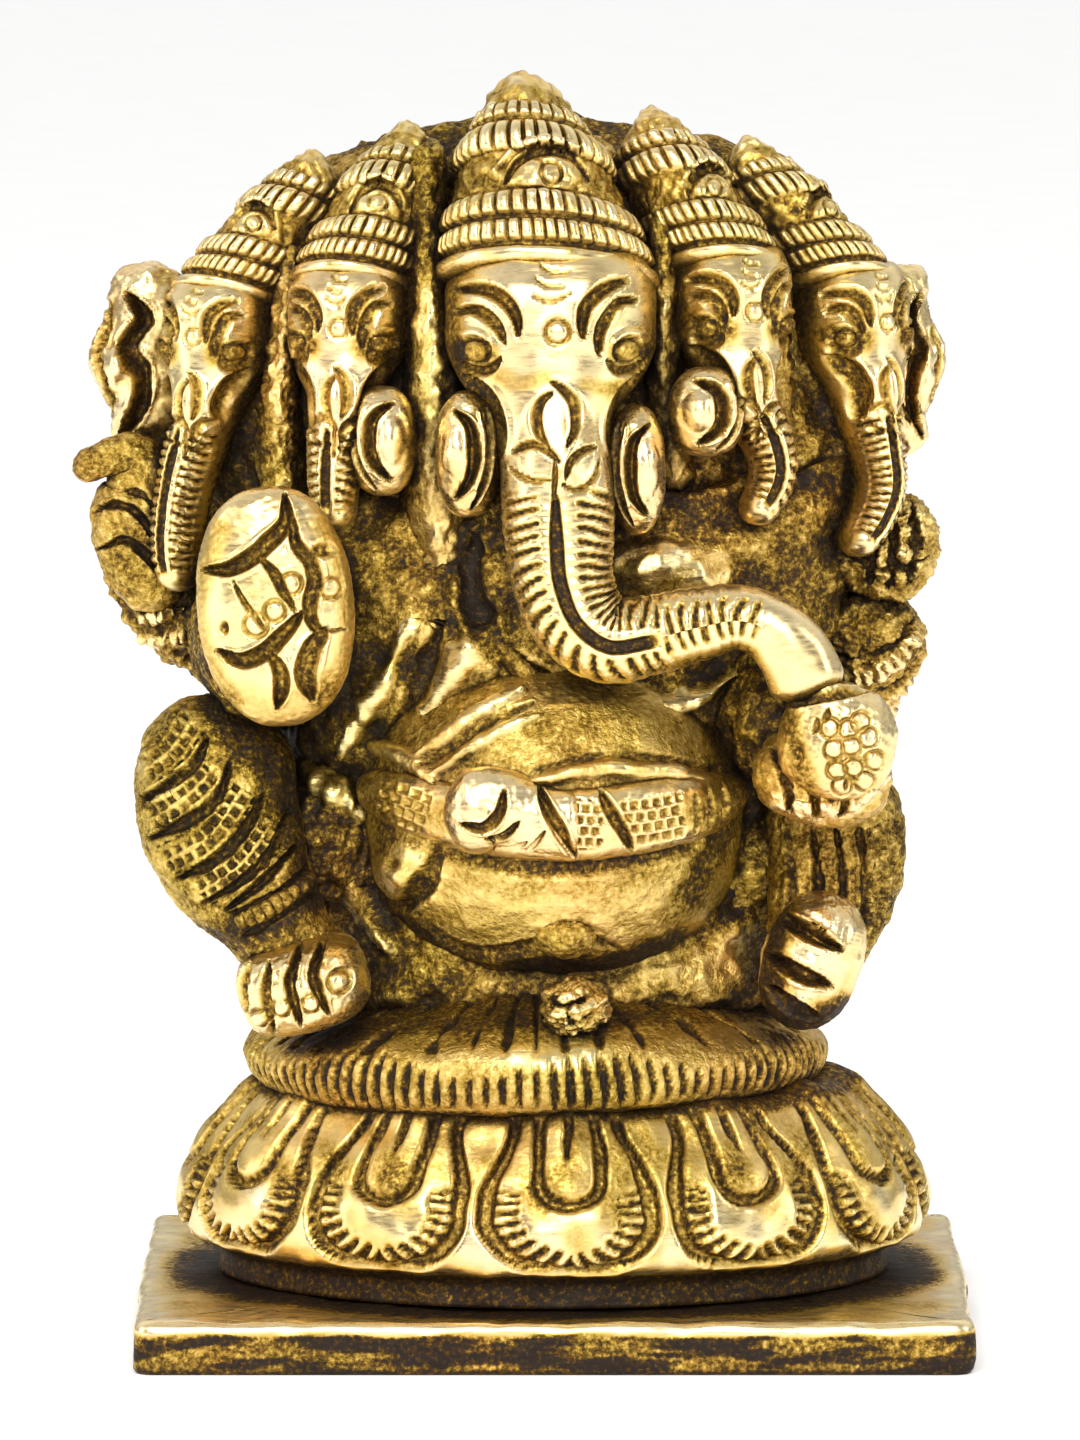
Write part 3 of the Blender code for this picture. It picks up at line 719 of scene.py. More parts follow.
@dataclass
class Stand:
    """The plate, the ring of lotus petals and the cushion."""

    corner: float = 1.3  # radius of the plate's upright corners
    worn_edge: float = 0.75  # how far its upper edge is rubbed down
    petals: int = 12
    petal_half: float = 6.7  # half a petal's share of the ring, at the front
    petal_lip: float = 2.6  # height of the petals' lower lips over the ring's foot
    petal_rows: int = 80
    petal_columns: int = 600
    cushion_rows: int = 66
    cushion_columns: int = 540
    hatch_pitch: float = 1.1  # from one slit to the next on the cushion's rim

    def build(self) -> None:
        """Builds the three pieces."""
        self.plate()
        self.lotus()
        self.cushion()

    def plate(self) -> None:
        """The plate: its outline drawn in by the profile, then bent and lumped by hand filing."""
        half, low = half_size("plinth"), middle("plinth") - half_size("plinth")
        core, out = rounded_oblong(half, self.corner, 440)
        height, edge = 2 * half[2], self.worn_edge
        bend = np.linspace(0, np.pi / 2, 10)
        profile = [(share, 0.0, 0.0) for share in (0.02, 0.5, 0.97)] + [(1.0, 0.25, 0.0)]
        profile += [(1.0, 0.0, z) for z in np.linspace(0.3, height - edge, 22)]
        profile += [(1.0, edge * (1 - math.cos(t)), height - edge * (1 - math.sin(t)))
                    for t in bend[1:]]
        profile += [(share, self.corner, height) for share in np.linspace(0.985, 0.02, 26)]
        rows = [np.concatenate([core * share + out * (self.corner - inset) * share,
                                np.full((len(core), 1), z)], axis=1)
                for share, inset, z in profile]
        shell = Shell(np.array(rows) + np.array([0, 0, low[2]]), 0.22)
        x, y, z = np.moveaxis(shell.points, -1, 0)
        wave = 0.12 * lumps(shell.points * [1, 1, 0.4], 9.0, 3) + 0.06 * lumps(shell.points, 2.4, 4)
        upper = ease(0.2, 1.2, z)
        shell.press(wave * upper)
        edge_shine = ease(0.9, 0.2, np.abs(z - height + 0.35)) * ease(2.6, 0.6, np.abs(
            np.maximum(np.abs(x) - half[0], np.abs(y) - half[1])))
        foot = np.hypot(x / half_size("lotus_pedestal")[0], y / half_size("lotus_pedestal")[1])
        # Painted shadow on the plate round the lotus's foot, where the lotus stands on it.
        under_lotus = ease(1.12, 0.98, foot) * ease(height - 1.0, height, z)
        patches = ease(-0.5, 0.9, lumps(shell.points * [0.35, 0.35, 1.9], 2.6, 8)
                       + 0.5 * lumps(shell.points * [0.5, 0.5, 2.2], 1.1, 9)) * 0.62
        front_face = ease(height - 0.2, height - 1.2, z)
        shell.stain = np.clip(0.2 + 0.4 * front_face + patches * (0.4 + 0.6 * front_face) + 0.75 * under_lotus
                              - 0.5 * edge_shine, 0, 1)
        shell.cast("plinth_plate", ("plinth",), Finish.POLISHED)

    def lotus(self) -> None:
        """The ring of petals: an oval lathe whose radius the petal pattern cuts into.

        The radius is a share of the ring's half width and half depth at each height. On it, a is
        the way across a petal from its middle and t the way up it from its lower lip.
        """
        spot, half = middle("lotus_pedestal"), half_size("lotus_pedestal")
        outline = np.array([(0.90, 0.0), (0.895, 0.05), (0.895, 0.12), (0.93, 0.165),
                            (0.975, 0.2), (0.998, 0.27), (1.0, 0.36), (0.99, 0.48),
                            (0.955, 0.62), (0.90, 0.78), (0.845, 0.9), (0.80, 0.99),
                            (0.76, 1.03), (0.6, 1.04)])
        line = spline(outline * [half[0], 2 * half[2]], self.petal_rows)
        turn = angles(self.petal_columns, 0.3)
        share = line[:, :1] / half[0]
        points = np.stack([half[0] * share * np.sin(turn), -half[1] * share * np.cos(turn),
                           line[:, 1:] - half[2] + 0 * turn], axis=-1) + spot
        shell = Shell(points, 0.12)
        run = np.concatenate([[0], np.cumsum(np.hypot(*np.diff(line, axis=0).T))])
        t = (run - np.interp(self.petal_lip, line[:, 1], run))[:, None] + 0 * turn
        place = (turn - 0.045) * self.petals / (2 * np.pi)
        number = np.round(place)
        a = ((place - number) * 2 * self.petal_half)[None, :] + 0.12 * np.sin(3 * number)[None, :]
        sway = 0.25 * lumps(points, 5.0, 21)
        a, t = a + sway * 0.6, t + sway * 0.5
        cut, swell, rubbed = self.petal(a, t)
        shell.press((swell - cut) * ease(-0.8, 0.4, t))
        shell.stain = np.clip(shell.stain + 0.24 * ease(2.5, 8.0, t) + 0.16 * lumps(points, 4.0, 23), 0, 1)
        shell.stain = np.maximum(shell.stain, 0.86 * np.clip(cut / 0.45, 0, 1)) - rubbed
        # Painted shadow on the lotus's foot below its petals, where it meets the plate.
        shell.darken(0.9 * ease(0.4, -0.6, t))
        shell.darken(0.75 * ease(11.6, 12.8, t))
        # Painted shade on the back of the ring.
        behind = ease(0.2, -0.6, np.cos(turn))[None, :]
        shell.darken(0.3 * behind)
        shell.press(0.07 * lumps(shell.points, 2.6, 22))
        shell.cast("lotus_petals", ("lotus_pedestal",), Finish.POLISHED)

    def petal(self, a: Array, t: Array) -> tuple[Array, Array, Array]:
        """The petals' relief.

        f = sqrt((a / half width)^2 + (min(0, t - t0) / fall)^2) is a U of any size. Grooves run
        where f is 1, for the outer and for the inner U. Nicks fan out between the two, and a slit
        runs up the middle from the inner one.

        Args:
            a: The way across a petal from its middle.
            t: The way up it.

        Returns:
            How deep the cuts are, how high the swelling is, and how far the grooves' bottoms
            are rubbed clean.
        """
        outer_half = 5.75 - 1.5 * ease(6.0, 12.0, t)
        outer = np.hypot(a / outer_half, np.minimum(0, t - 4.6) / 4.3)
        inner = np.hypot(a / 2.3, np.minimum(0, t - 7.3) / 2.0)
        off_outer, off_inner = np.abs(outer - 1) * 5.2, np.abs(inner - 1) * 2.2
        top = ease(13.2, 12.0, t) * ease(0.2, 0.7, t)
        slit = 0.34 * ease(8.4, 10.6, t)
        bearing = np.arctan2(a / 5.75, (6.0 - t) / 4.6) - 0.35 * np.sign(a) * (outer - 0.8)
        ray = bearing / 0.21
        nick = ease(0.5, 0.2, np.abs(ray - np.round(ray)) * (2.0 - 0.8 * outer))
        nick = nick * ease(0.55, 0.64, outer) * ease(0.95, 0.90, outer) * ease(1.85, 1.6, np.abs(bearing))
        cut = top * np.maximum.reduce([
            0.85 * ease(0.7, 0.3, off_outer), 0.7 * ease(0.58, 0.25, off_inner),
            0.6 * ease(slit + 0.12, slit - 0.1, np.abs(a)) * ease(8.2, 8.8, t), 0.48 * nick])
        swell = 0.4 * np.clip(1 - outer**2, 0, 1) + 0.3 * np.clip(1 - inner**2, 0, 1)
        rubbed = ease(0.5, 0.15, off_outer) * 0.32 + ease(0.4, 0.1, off_inner) * 0.3
        return cut, swell, rubbed * top

    def cushion(self) -> None:
        """The cushion: a flat round loaf, its rim slit all round and its top chiselled in rays."""
        spot, half = middle("seat_cushion"), half_size("seat_cushion")
        outline = np.array([(0.80, -1.12), (0.88, -1.1), (0.955, -0.85), (0.995, -0.35),
                            (1.0, -0.1), (0.985, 0.25), (0.945, 0.55), (0.88, 0.8), (0.72, 1.25),
                            (0.5, 1.7), (0.3, 1.9), (0.02, 1.95)])
        line = spline(outline * [half[0], half[2]], self.cushion_rows)
        turn = angles(self.cushion_columns, 0.3)
        share, level = line[:, :1] / half[0], line[:, 1:] / half[2]
        front = np.clip(np.cos(turn), 0, 1) ** 3
        sag = 0.35 * np.sin(2 * turn + 0.6)
        points = np.stack([half[0] * share * np.sin(turn), -(half[1] + 0.9 * front) * share * np.cos(turn),
                           line[:, 1:] + 0.9 * front * ease(-0.6, 1.0, level) + sag], axis=-1) + spot
        shell = Shell(points, 0.32)
        height = points[..., 2] - spot[2] - sag
        cut = self.slits(turn, height, half) * ease(0.9, 0.96, share)
        ray = np.abs((turn / 0.16 + 0.6 * np.sin(turn * 5)) % 1 * 2 - 1)
        top = ease(0.3, 0.7, level) * ease(0.35, 0.6, share) * ease(0.995, 0.93, share)
        cut = np.maximum(cut, 0.4 * ease(0.7, 0.95, ray + 0.15 * lumps(points, 2.0, 32)) * top)
        shell.press(-cut)
        # Painted shade on the back of the cushion.
        behind = ease(0.3, -0.6, np.cos(turn))[None, :]
        shell.stain = np.maximum.reduce([
            shell.stain, 0.85 * np.clip(cut / 0.3, 0, 1), 0.85 * ease(-0.75, -1.05, level) + 0 * cut,
            0.6 * ease(0.93, 0.8, share) + 0 * cut])
        lens = ease(1.0, 0.4, np.hypot(points[..., 0] / 6.5, (height - 1.6) / 1.1)) * (share > 0.8)
        shell.stain = np.maximum(shell.stain * (1 - 0.8 * lens), 0.42 * behind)
        shell.roughen(0.07, 3.0, 31)
        shell.cast("seat_cushion_loaf", ("seat_cushion",), Finish.AGED)

    def slits(self, turn: Array, height: Array, half: Array) -> Array:
        """The slits round the cushion's rim: thin upright ovals of uneven length and depth.

        Args:
            turn: The angle round the cushion.
            height: The height of each point over the cushion's middle.
            half: Half the cushion's size.

        Returns:
            How deep each point is cut.
        """
        radius = (half[0] + half[1]) / 2
        count = round(2 * np.pi * radius / self.hatch_pitch)
        lean = 0.5 * np.sin(3 * turn) + 0.2
        place = (turn * radius + lean * height * 0.25) * count / (2 * np.pi * radius)
        number = np.round(place)
        wild = np.sin(number * 12.9898) * 0.5 + 0.5
        level = np.abs(height + 0.9 - 0.7 * wild) / (1.1 + 0.9 * wild)
        width = 0.30 * np.sqrt(np.clip(1 - level**2, 0, 1))
        return (0.34 + 0.14 * wild) * ease(width + 0.06, width * 0.3, np.abs(place - number)) * (level < 1)


# ---------------------------------------------------------------- the five heads

# The face's marks, from the dot on its forehead, at the middle head's scale.
WRINKLES = gouges(0.34, 0.26, ((-1.9, 2.6), (-0.5, 2.1), (0.9, 2.6)),
                  ((-1.6, 3.7), (-0.7, 3.2), (0.6, 3.2)), ((-1.3, 4.6), (-0.4, 4.1), (0.8, 4.1)))
BROWS = (gouges(1.15, 0.75, ((-7.1, 2.6), (-6.0, 2.85), (-4.6, 2.7), (-3.5, 1.9), (-2.9, 0.9),
                             (-2.75, -0.2)),
                ((4.9, 3.4), (3.65, 3.1), (2.6, 2.4), (1.95, 1.6), (1.75, 0.6), (1.8, -0.4)))
         + gouges(1.0, 0.7, ((-7.1, 1.0), (-6.1, 1.35), (-5.2, 1.1), (-4.35, 0.4), (-3.7, -0.8)),
                  ((5.6, 1.95), (4.5, 1.95), (3.65, 1.1), (3.05, 0.1), (2.9, -1.0), (2.95, -1.7))))
EYES = (rings(1.9, 0.6, (-5.75, -1.5), (4.95, -1.5))
        + gouges(0.8, 0.55, ((-7.0, -2.3), (-5.9, -2.95), (-4.6, -2.6), (-4.0, -1.9)),
                 ((3.5, -2.1), (4.2, -2.8), (5.3, -2.9), (6.4, -2.2)))
        + (Mark(Tool.RIDGE, ((-6.9, -0.4), (-5.8, -0.2), (-4.7, -0.7)), 0.6, 0.3),
           Mark(Tool.RIDGE, ((3.9, -0.8), (4.9, -0.25), (6.2, -0.4)), 0.6, 0.3)))
TEARDROP = gouges(0.85, 0.5, ((-0.4, -4.2), (-1.2, -4.9), (-1.5, -5.95), (-1.3, -7.0),
                              (-0.6, -8.2)),
                  ((-0.35, -3.5), (0.5, -4.1), (1.1, -4.8), (1.3, -5.8), (1.2, -6.9), (0.7, -7.8)))
LEAVES = (gouges(0.7, 0.45, ((-3.2, -8.5), (-2.35, -7.94), (-1.5, -7.8), (-0.7, -8.2), (0.1, -8.9)),
                 ((2.7, -8.1), (1.76, -8.3), (0.94, -9.0), (0.6, -10.1)))
          + gouges(0.5, 0.35, ((-3.4, -9.65), (-2.6, -10.1), (-1.65, -10.35), (-0.47, -10.2)),
                   ((0.3, -10.5), (1.06, -10.9), (1.9, -10.8), (2.7, -10.0), (3.0, -9.0)),
                   ((-0.18, -8.9), (-0.2, -10.2), (-0.3, -11.4))))
CHEEKS = (Mark(Tool.GOUGE, ((-6.7, -3.4), (-5.2, -4.6), (-4.4, -6.6), (-4.2, -9.2)), 1.7, 0.9),
          Mark(Tool.GOUGE, ((5.9, -3.4), (4.9, -4.6), (4.2, -6.6), (4.0, -9.0)), 1.7, 0.9))
BULGES = (Mark(Tool.DOME, ((-3.4, 3.4),), 6.5, 0.35), Mark(Tool.DOME, ((3.2, 3.4),), 6.5, 0.35),
          Mark(Tool.DOME, ((-0.1, -7.5),), 5.4, 0.6, tall=9.0),
          Mark(Tool.DOME, ((-5.6, -1.4),), 3.2, 0.25), Mark(Tool.DOME, ((4.9, -1.4),), 3.2, 0.25))
FACE = WRINKLES + BROWS + EYES + TEARDROP + CHEEKS + (Mark(Tool.RING, ((0.0, 0.0),), 1.8, 0.32),)

# Ear marks, from an ear's own middle on the middle head; the ear is 4 wide and 8 high.
EAR_MARKS = (gouges(0.95, 0.8, ((-0.9, 3.1), (0.1, 2.2), (0.45, 0.4), (0.1, -1.6), (-0.8, -2.8)))
             + gouges(0.6, 0.55, ((1.2, 3.3), (1.5, 1.8), (1.45, 0.0), (0.95, -2.2), (0.2, -3.6)))
             + (Mark(Tool.DOME, ((-0.85, 0.3),), 1.9, 0.55, tall=4.4),
                Mark(Tool.RIDGE, ((0.7, 3.0), (1.0, 1.5), (1.0, -0.2), (0.5, -2.2)), 0.5, 0.25)))


TO_THE_TIP = 99.0  # where a groove stops that runs to the trunk's tip


class EarShape(Enum):
    """How an ear shows beside its head."""

    FOLDED = "a leaf folded against the cheek"
    SPREAD = "a lobed fan at the edge of the figurine"


@dataclass(frozen=True)
class Ear:
    """One ear, from its node's middle."""

    node: str
    half: Point
    shift: Point = (0.0, 0.0, 0.0)
    mirrored: bool = False
    shape: EarShape = EarShape.FOLDED


@dataclass
class ElephantHead:
    """A head with its trunk, its tall crown and its ears.

    Lengths are those of the middle head and are scaled. The head's own frame has its zero in
    the middle of the head's node, X to its left side as it is seen, and -Y where it faces.
    """

    name: str
    trunk: tuple[Point, ...]  # x, y, z, half width and half depth down the trunk
    ears: tuple[Ear, ...]
    scale: float = 1.0
    turn: float = 0.0  # degrees that it is turned to the viewer's right
    crown_lean: float = 0.0  # how far the crown's tip leans to the viewer's right
    stain: float = 0.07
    groove: tuple[float, float] = (-11.0, 8.0)  # where the trunk's groove starts and stops
    marks_end: float = 15.0  # how far across the last mark on the trunk is
    detail: float = 0.82
    seed: int = 50
    squeeze: float = 1.0  # its width's share of the middle head's, at its scale
    bold: float = 1.0  # how much wider its grooves are
    shift: Point = (0.0, 0.0, 0.0)  # from the node's middle
    tall_crown: float = 1.0  # power on the crown's taper; under 1 keeps it wide to its top
    extra: tuple[Mark, ...] = ()  # more marks on its face
    dot: Point = (0.6, 0.0, 1.6)  # the forehead's dot, from the head's middle
    smile_pitch: float = 0.92  # from one smile on the trunk to the next
    joint: float = -5.2  # how high the head's piece and the trunk's piece meet
    tuck: int = 12  # rows that each of the two goes on under the other

    # The skull: x, y, z, half width and half depth from under the crown to the trunk's root.
    skull: tuple[Point, ...] = (
        (0.0, 0.6, 7.6, 3.2, 3.0), (0.0, 0.2, 6.8, 5.6, 5.2), (0.1, -0.1, 5.4, 6.9, 6.3),
        (0.1, -0.5, 1.9, 7.5, 6.9), (0.1, -0.5, -0.4, 7.4, 7.0), (0.1, -1.5, -2.4, 6.3, 6.2),
        (0.15, -2.9, -4.2, 4.9, 5.1))

    def build(self) -> None:
        """Builds the head, trunk, crown and ears."""
        self.head_and_trunk()
        self.crown()
        for number, ear in enumerate(self.ears):
            self.ear(ear, number)

    def spot(self) -> Array:
        """Where the head's own frame has its zero."""
        return middle(self.name + "_head") + np.array(self.shift)

    def placed(self, points: Array, stain: float) -> Shell:
        """A shell of points given in the head's own frame."""
        return Shell(points * self.scale, stain).move(self.spot(), self.turn)

    def local(self, shell: Shell) -> Array:
        """A shell's points in the head's own frame and scale."""
        c, s = cos_sin(self.turn)
        offset = shell.points - self.spot()
        return offset @ np.array([[c, -s, 0.0], [s, c, 0.0], [0.0, 0.0, 1.0]]) / self.scale

    def chase(self, shell: Shell, marks: tuple[Mark, ...], spot: Point) -> None:
        """Works marks into a shell of this head.

        Args:
            shell: The shell, already in its place.
            marks: The marks, at the middle head's scale.
            spot: Where the marks' zero is, in the head's own frame.
        """
        c, s = cos_sin(self.turn)
        x, y, z = (number * self.scale for number in spot)
        zero = self.spot() + np.array([c * x - s * y, s * x + c * y, z])
        chisel = shell.chisel(zero, self.turn)
        for mark in marks:
            grown = mark.grown(self.scale)
            route = tuple((across * self.squeeze, up) for across, up in grown.route)
            bold = self.bold if mark.tool is Tool.GOUGE else 1.0
            chisel.work(replace(grown, route=route, width=grown.width * bold))
        shell.carve(chisel)

    def head_and_trunk(self) -> None:
        """Head and trunk as one sweep, cut into two pieces that run into each other.

        The sections' middles and half sizes follow a smooth curve down the face and on along
        the trunk, so that the marks cross the joint unbroken. Past the cut each piece goes on
        for a few rows, sinking under the other by the square of the rows passed.
        """
        stations = np.array(self.skull + self.trunk)
        stations[:, 3] *= self.squeeze
        length = np.linalg.norm(np.diff(stations[:, :3], axis=0), axis=1).sum()
        rows, columns = int(length / 0.145 * self.detail), int(270 * self.detail)
        points = sweep(stations, rows, columns, crowd=0.45, upright=True, caps=(0.0, 1.6),
                       blunt=0.9)
        shell = self.placed(points, self.stain)
        shell.press(0.05 * self.scale * lumps(points, 3.0, self.seed))
        self.chase(shell, BULGES, self.dot)
        shell.stain[:] = self.stain
        self.chase(shell, FACE + LEAVES + self.extra, self.dot)
        self.trunk_marks(shell, stations, rows, points)
        self.side_shade_and_under_eyes(shell)
        cut, tuck = int(np.argmin(np.abs(points.mean(axis=1)[: rows // 2, 2] - self.joint))), self.tuck
        sunk = 0.004 * np.arange(tuck + 1)[:, None] ** 2 * self.scale
        normals = shell.normals()
        head, trunk = (Shell(shell.points[part].copy(), 0.0) for part in
                       (slice(0, cut + tuck + 1), slice(cut - tuck, rows)))
        head.stain, trunk.stain = shell.stain[: cut + tuck + 1], shell.stain[cut - tuck:]
        head.points[cut:] -= normals[cut: cut + tuck + 1] * sunk[..., None]
        trunk.points[: tuck + 1] -= normals[cut - tuck: cut + 1] * sunk[::-1][..., None]
        head.cast(self.name + "_face", (self.name + "_head",), Finish.POLISHED)
        trunk.cast(self.name + "_trunk_curl", (self.name + "_trunk",), Finish.POLISHED)

    def trunk_marks(self, shell: Shell, stations: Array, rows: int, points: Array) -> None:
        """The groove down the trunk and the row of short smiles on each side of it.

        In a section, the share across is the sine of the angle from its front. The groove is
        where that share is near 0, and a smile is where the run along the trunk, plus a
        curve that drops with the share's square, is near a multiple of the pitch. Past the groove the
        smiles keep to the upper side, and the lower side is darkened with painted shade.

        Args:
            shell: The head and trunk as one shell, already in its place.
            stations: The stations that it was swept through.
            rows: Sections along it.
            points: Its points in the head's own frame, before any mark.
        """
        line = spline(stations, rows)
        run = np.concatenate([[0.0], np.cumsum(np.linalg.norm(np.diff(line[:, :3], axis=0), axis=1))])
        drop = self.dot[2] + self.groove[0]
        first = int(np.argmin(np.abs(line[: rows // 2 + rows // 8, 2] - drop)))
        start = run[first]
        if self.groove[1] < TO_THE_TIP:
            half_way = rows // 2
            last = half_way + int(np.argmin(np.abs(line[half_way:, 0] - self.groove[1])))
            end = half_way + int(np.argmin(np.abs(line[half_way:, 0] - self.marks_end)))
        else:
            last = end = rows - 1 - int(1.6 / (run[1] - run[0]))
        turn = angles(points.shape[1], 0.45)
        share, along = np.sin(turn)[None, :], run[:, None]
        wide = line[:, 3:4]
        facing = (np.cos(turn) > 0)[None, :]
        spread = 0.16 + 0.2 * ease(start, start + 4.0, along)
        middle_cut = ease(spread + 0.14, spread - 0.12, np.abs(share * wide + 0.15))
        middle_cut = middle_cut * ease(start, start + 1.0, along) * ease(run[last], run[last] - 1.5, along)
        place = (along + 0.27 * (1 - share**2) * wide) / self.smile_pitch + 0.5 * (share < 0)
        place = place + 0.10 * np.sin(along * 2.1 + share * 3)
        past_groove = ease(run[last] - 1.0, run[last] + 1.0, along)
        inner = 0.22 * (1 - past_groove)
        reach = ease(inner, inner + 0.16, np.abs(share)) * ease(0.995, 0.93, np.abs(share))
        reach = reach * (1 - past_groove) + past_groove * ease(-0.6, -0.35, share) * ease(0.85, 0.6, share)
        nick = ease(0.30, 0.08, np.abs(place - np.round(place)) / (0.35 + 0.65 * reach)) * reach
        nick = nick * ease(start - 0.2, start + 0.8, along) * ease(run[end], run[end] - 0.8, along)
        cut = np.maximum(0.5 * middle_cut, 0.3 * nick) * facing * self.scale
        swell = (0.10 * np.abs(np.sin(np.pi * (along / self.smile_pitch))) * ease(start, start + 2, along)
                 * ease(run[end], run[end] - 2, along) * self.scale)
        shell.press(swell - cut)
        shell.darken(0.88 * np.clip(cut / (0.3 * self.scale), 0, 1))
        # Painted shade on the lower side of the trunk's curl.
        under = past_groove * ease(-0.45, -0.85, share) * ease(run[end] + 2.5, run[end], along)
        shell.darken(0.6 * under)

    def side_shade_and_under_eyes(self, shell: Shell) -> None:
        """Painted shade where the face turns away at the sides, and darker patches under the eyes.

        Args:
            shell: The head and trunk as one shell, already in its place.
        """
        inside = self.local(shell)
        away = ease(0.25, -0.35, shell.normals() @ heading(self.turn))
        rough = 0.25 * lumps(shell.points, 3.5, self.seed + 7)
        under_eye = ease(2.4, 0.6, np.abs(np.abs(inside[..., 0] - 0.2) - 5.0)) * ease(
            1.2, 0.2, np.abs(inside[..., 2] + 2.8))
        shell.stain = np.clip(np.maximum(shell.stain, 0.75 * away) + 0.3 * under_eye * (rough + 0.6),
                              0, 1)

    def crown(self) -> None:
        """The crown: rim, two rows of beads, a jewel, two more rows of beads and a cone.

        Each ring is a circle tipped back, the more so the higher it is. Its front point is
        given, with its half width.
        """
        profile = np.array(CROWN_RINGS)
        full = profile[:, 2].max()
        profile[:, 2] = full * (profile[:, 2] / full) ** self.tall_crown
        stations = np.concatenate([np.zeros((len(profile), 1)), profile[:, 1:2], profile[:, :1],
                                   profile[:, 2:]], axis=1)
        rows, columns = int(150 * self.detail), int(330 * self.detail)
        line = spline(stations, rows)
        turn = angles(columns, 0.4)
        height, half = line[:, 2], line[:, 3]
        tip = np.radians(line[:, 4])
        if self.tall_crown < 1:
            half = half * np.sqrt(np.clip((height[-1] + 0.2 - height) / 2.0, 0.02, 1))
        deep = 0.88 * half
        half = half * self.squeeze
        beads, edge, dark = self.crown_beads(height, turn)
        band = ease(11.3, 11.6, height) * ease(14.1, 13.8, height)
        cone = ease(16.8, 17.1, height)
        hollow = 0.25 * (1 - edge) * (1 - band[:, None]) * (1 - cone[:, None])
        flare_x, flare_y = (size[:, None] + beads - hollow for size in (half, deep))
        front = np.stack([0 * tip, -np.cos(tip), np.sin(tip)], axis=-1)
        centre = line[:, :3] - deep[:, None] * front
        centre[:, 0] += self.crown_lean / 20.0 * (height - 6.0)
        points = (centre[:, None] + (flare_x * np.sin(turn))[..., None] * np.array([1.0, 0, 0])
                  + (flare_y * np.cos(turn))[..., None] * front[:, None])
        points[..., 2] -= 0.6 * np.sin(turn) * 0.5
        shell = self.placed(points, self.stain)
        plain = np.maximum(np.where(edge > 0, 0.0, 0.66), 0.78 * dark)
        plain = np.where(band[:, None] > 0.5, 0.5, plain)
        plain = np.where(height[:, None] > 17.2, 0.42, plain)
        plain = np.where(height[:, None] > 18.2, 0.2, plain)
        rough = lumps(shell.points, 1.3 * self.scale, self.seed + 3)
        shell.stain = np.clip(np.maximum(shell.stain, plain) - 0.12 * rough, 0, 1)
        shell.press(self.scale * (band + cone)[:, None] * 0.14 * rough
                    + 0.03 * self.scale * lumps(shell.points, 2.0, self.seed + 4))
        self.chase(shell, JEWEL, (0.5 + self.crown_lean / 20.0 * 6.5, -6.0, 12.4))
        # Painted shade on the back of the crown.
        sides = ease(-0.1, -0.7, np.cos(turn))[None, :] * 0.5
        shell.darken(sides)
        shell.cast(self.name + "_crown_tiers", (self.name + "_crown",), Finish.POLISHED)

    def crown_beads(self, height: Array, turn: Array) -> tuple[Array, Array, Array]:
        """The crown's rim and its rows of beads.

        A bead is a flat-topped bump: the square root of 1 - v^4 up the row, by a rounded tooth
        round the ring.

        Args:
            height: The height of each section's front.
            turn: The angles round a section.

        Returns:
            How far each point is raised, which points are on the rim or in a row of beads, and
            how dark it is between the beads.
        """
        beads, edge, dark = (np.zeros((len(height), len(turn))) for _ in range(3))
        wobble = turn + 0.03 * np.sin(5 * turn + self.seed)
        for low, top, count, lift in BEAD_ROWS:
            count = round(count * (0.4 + 0.6 * self.squeeze))
            v = ((height - (low + top) / 2) / ((top - low) / 2))[:, None]
            row = np.clip(1 - v**4, 0, 1)
            tooth = np.abs((wobble * count / (2 * np.pi) + 0.13 * low) % 1 * 2 - 1)[None, :]
            tooth = ease(1.0, 0.62, tooth) * np.sqrt(1 - (0.75 * tooth) ** 2)
            beads += lift * np.sqrt(row) * tooth
            inside = np.abs(v) < 1.05
            edge = np.maximum(edge, inside * 1.0)
            dark = np.maximum(dark, inside * (1 - np.minimum(1, np.sqrt(row) * tooth * 1.6)))
        rim = np.sqrt(np.clip(1 - ((height - 6.9) / 0.62) ** 2, 0, 1))[:, None]
        return beads + 0.45 * rim, np.maximum(edge, (rim > 0.05) * 1.0), dark

    def ear(self, ear: Ear, number: int) -> None:
        """One ear: a flat ellipsoid worked with crescents, or a bigger one with lobes.

        Args:
            ear: The ear.
            number: Which of the head's ears it is, which picks its unevenness.
        """
        rows, columns = int(150 * self.detail), int(130 * self.detail)
        spread = ear.shape is EarShape.SPREAD
        turn = self.turn * (0.5 if spread else 1.0)
        shell = Shell(egg(ear.half, rows, columns, 0.45, 0.85), 0.1)
        flip = -1.0 if ear.mirrored else 1.0
        spot = middle(ear.node) + np.array(ear.shift)
        if spread:
            outer = ease(0.2, 0.8, flip * shell.points[..., 0] / ear.half[0])
            shell.press(0.5 * np.cos(shell.points[..., 2] * 1.9 / ear.half[2] * np.pi) * outer)
        shell.move(spot, turn)
        chisel = shell.chisel(spot, turn, rim=0.0)
        wide, high = ear.half[0] / 2.2, ear.half[2] / 4.3
        for mark in SPREAD_EAR_MARKS if spread else EAR_MARKS:
            route = tuple((flip * x * wide, z * high) for x, z in mark.route)
            chisel.work(replace(mark, route=route, width=mark.width * wide, depth=mark.depth * wide,
                                tall=mark.tall * high))
        shell.carve(chisel)
        if spread:
            shell.roughen(0.12, 2.2, self.seed + 11)
        else:
            shell.roughen(0.04, 1.8, self.seed + 12 + number)
        # Painted shade where the ear turns away from the front.
        shell.darken(0.7 * ease(0.2, -0.4, shell.normals() @ heading(0.0)))
        shell.cast(ear.node + "_leaf", (ear.node,), Finish.POLISHED)


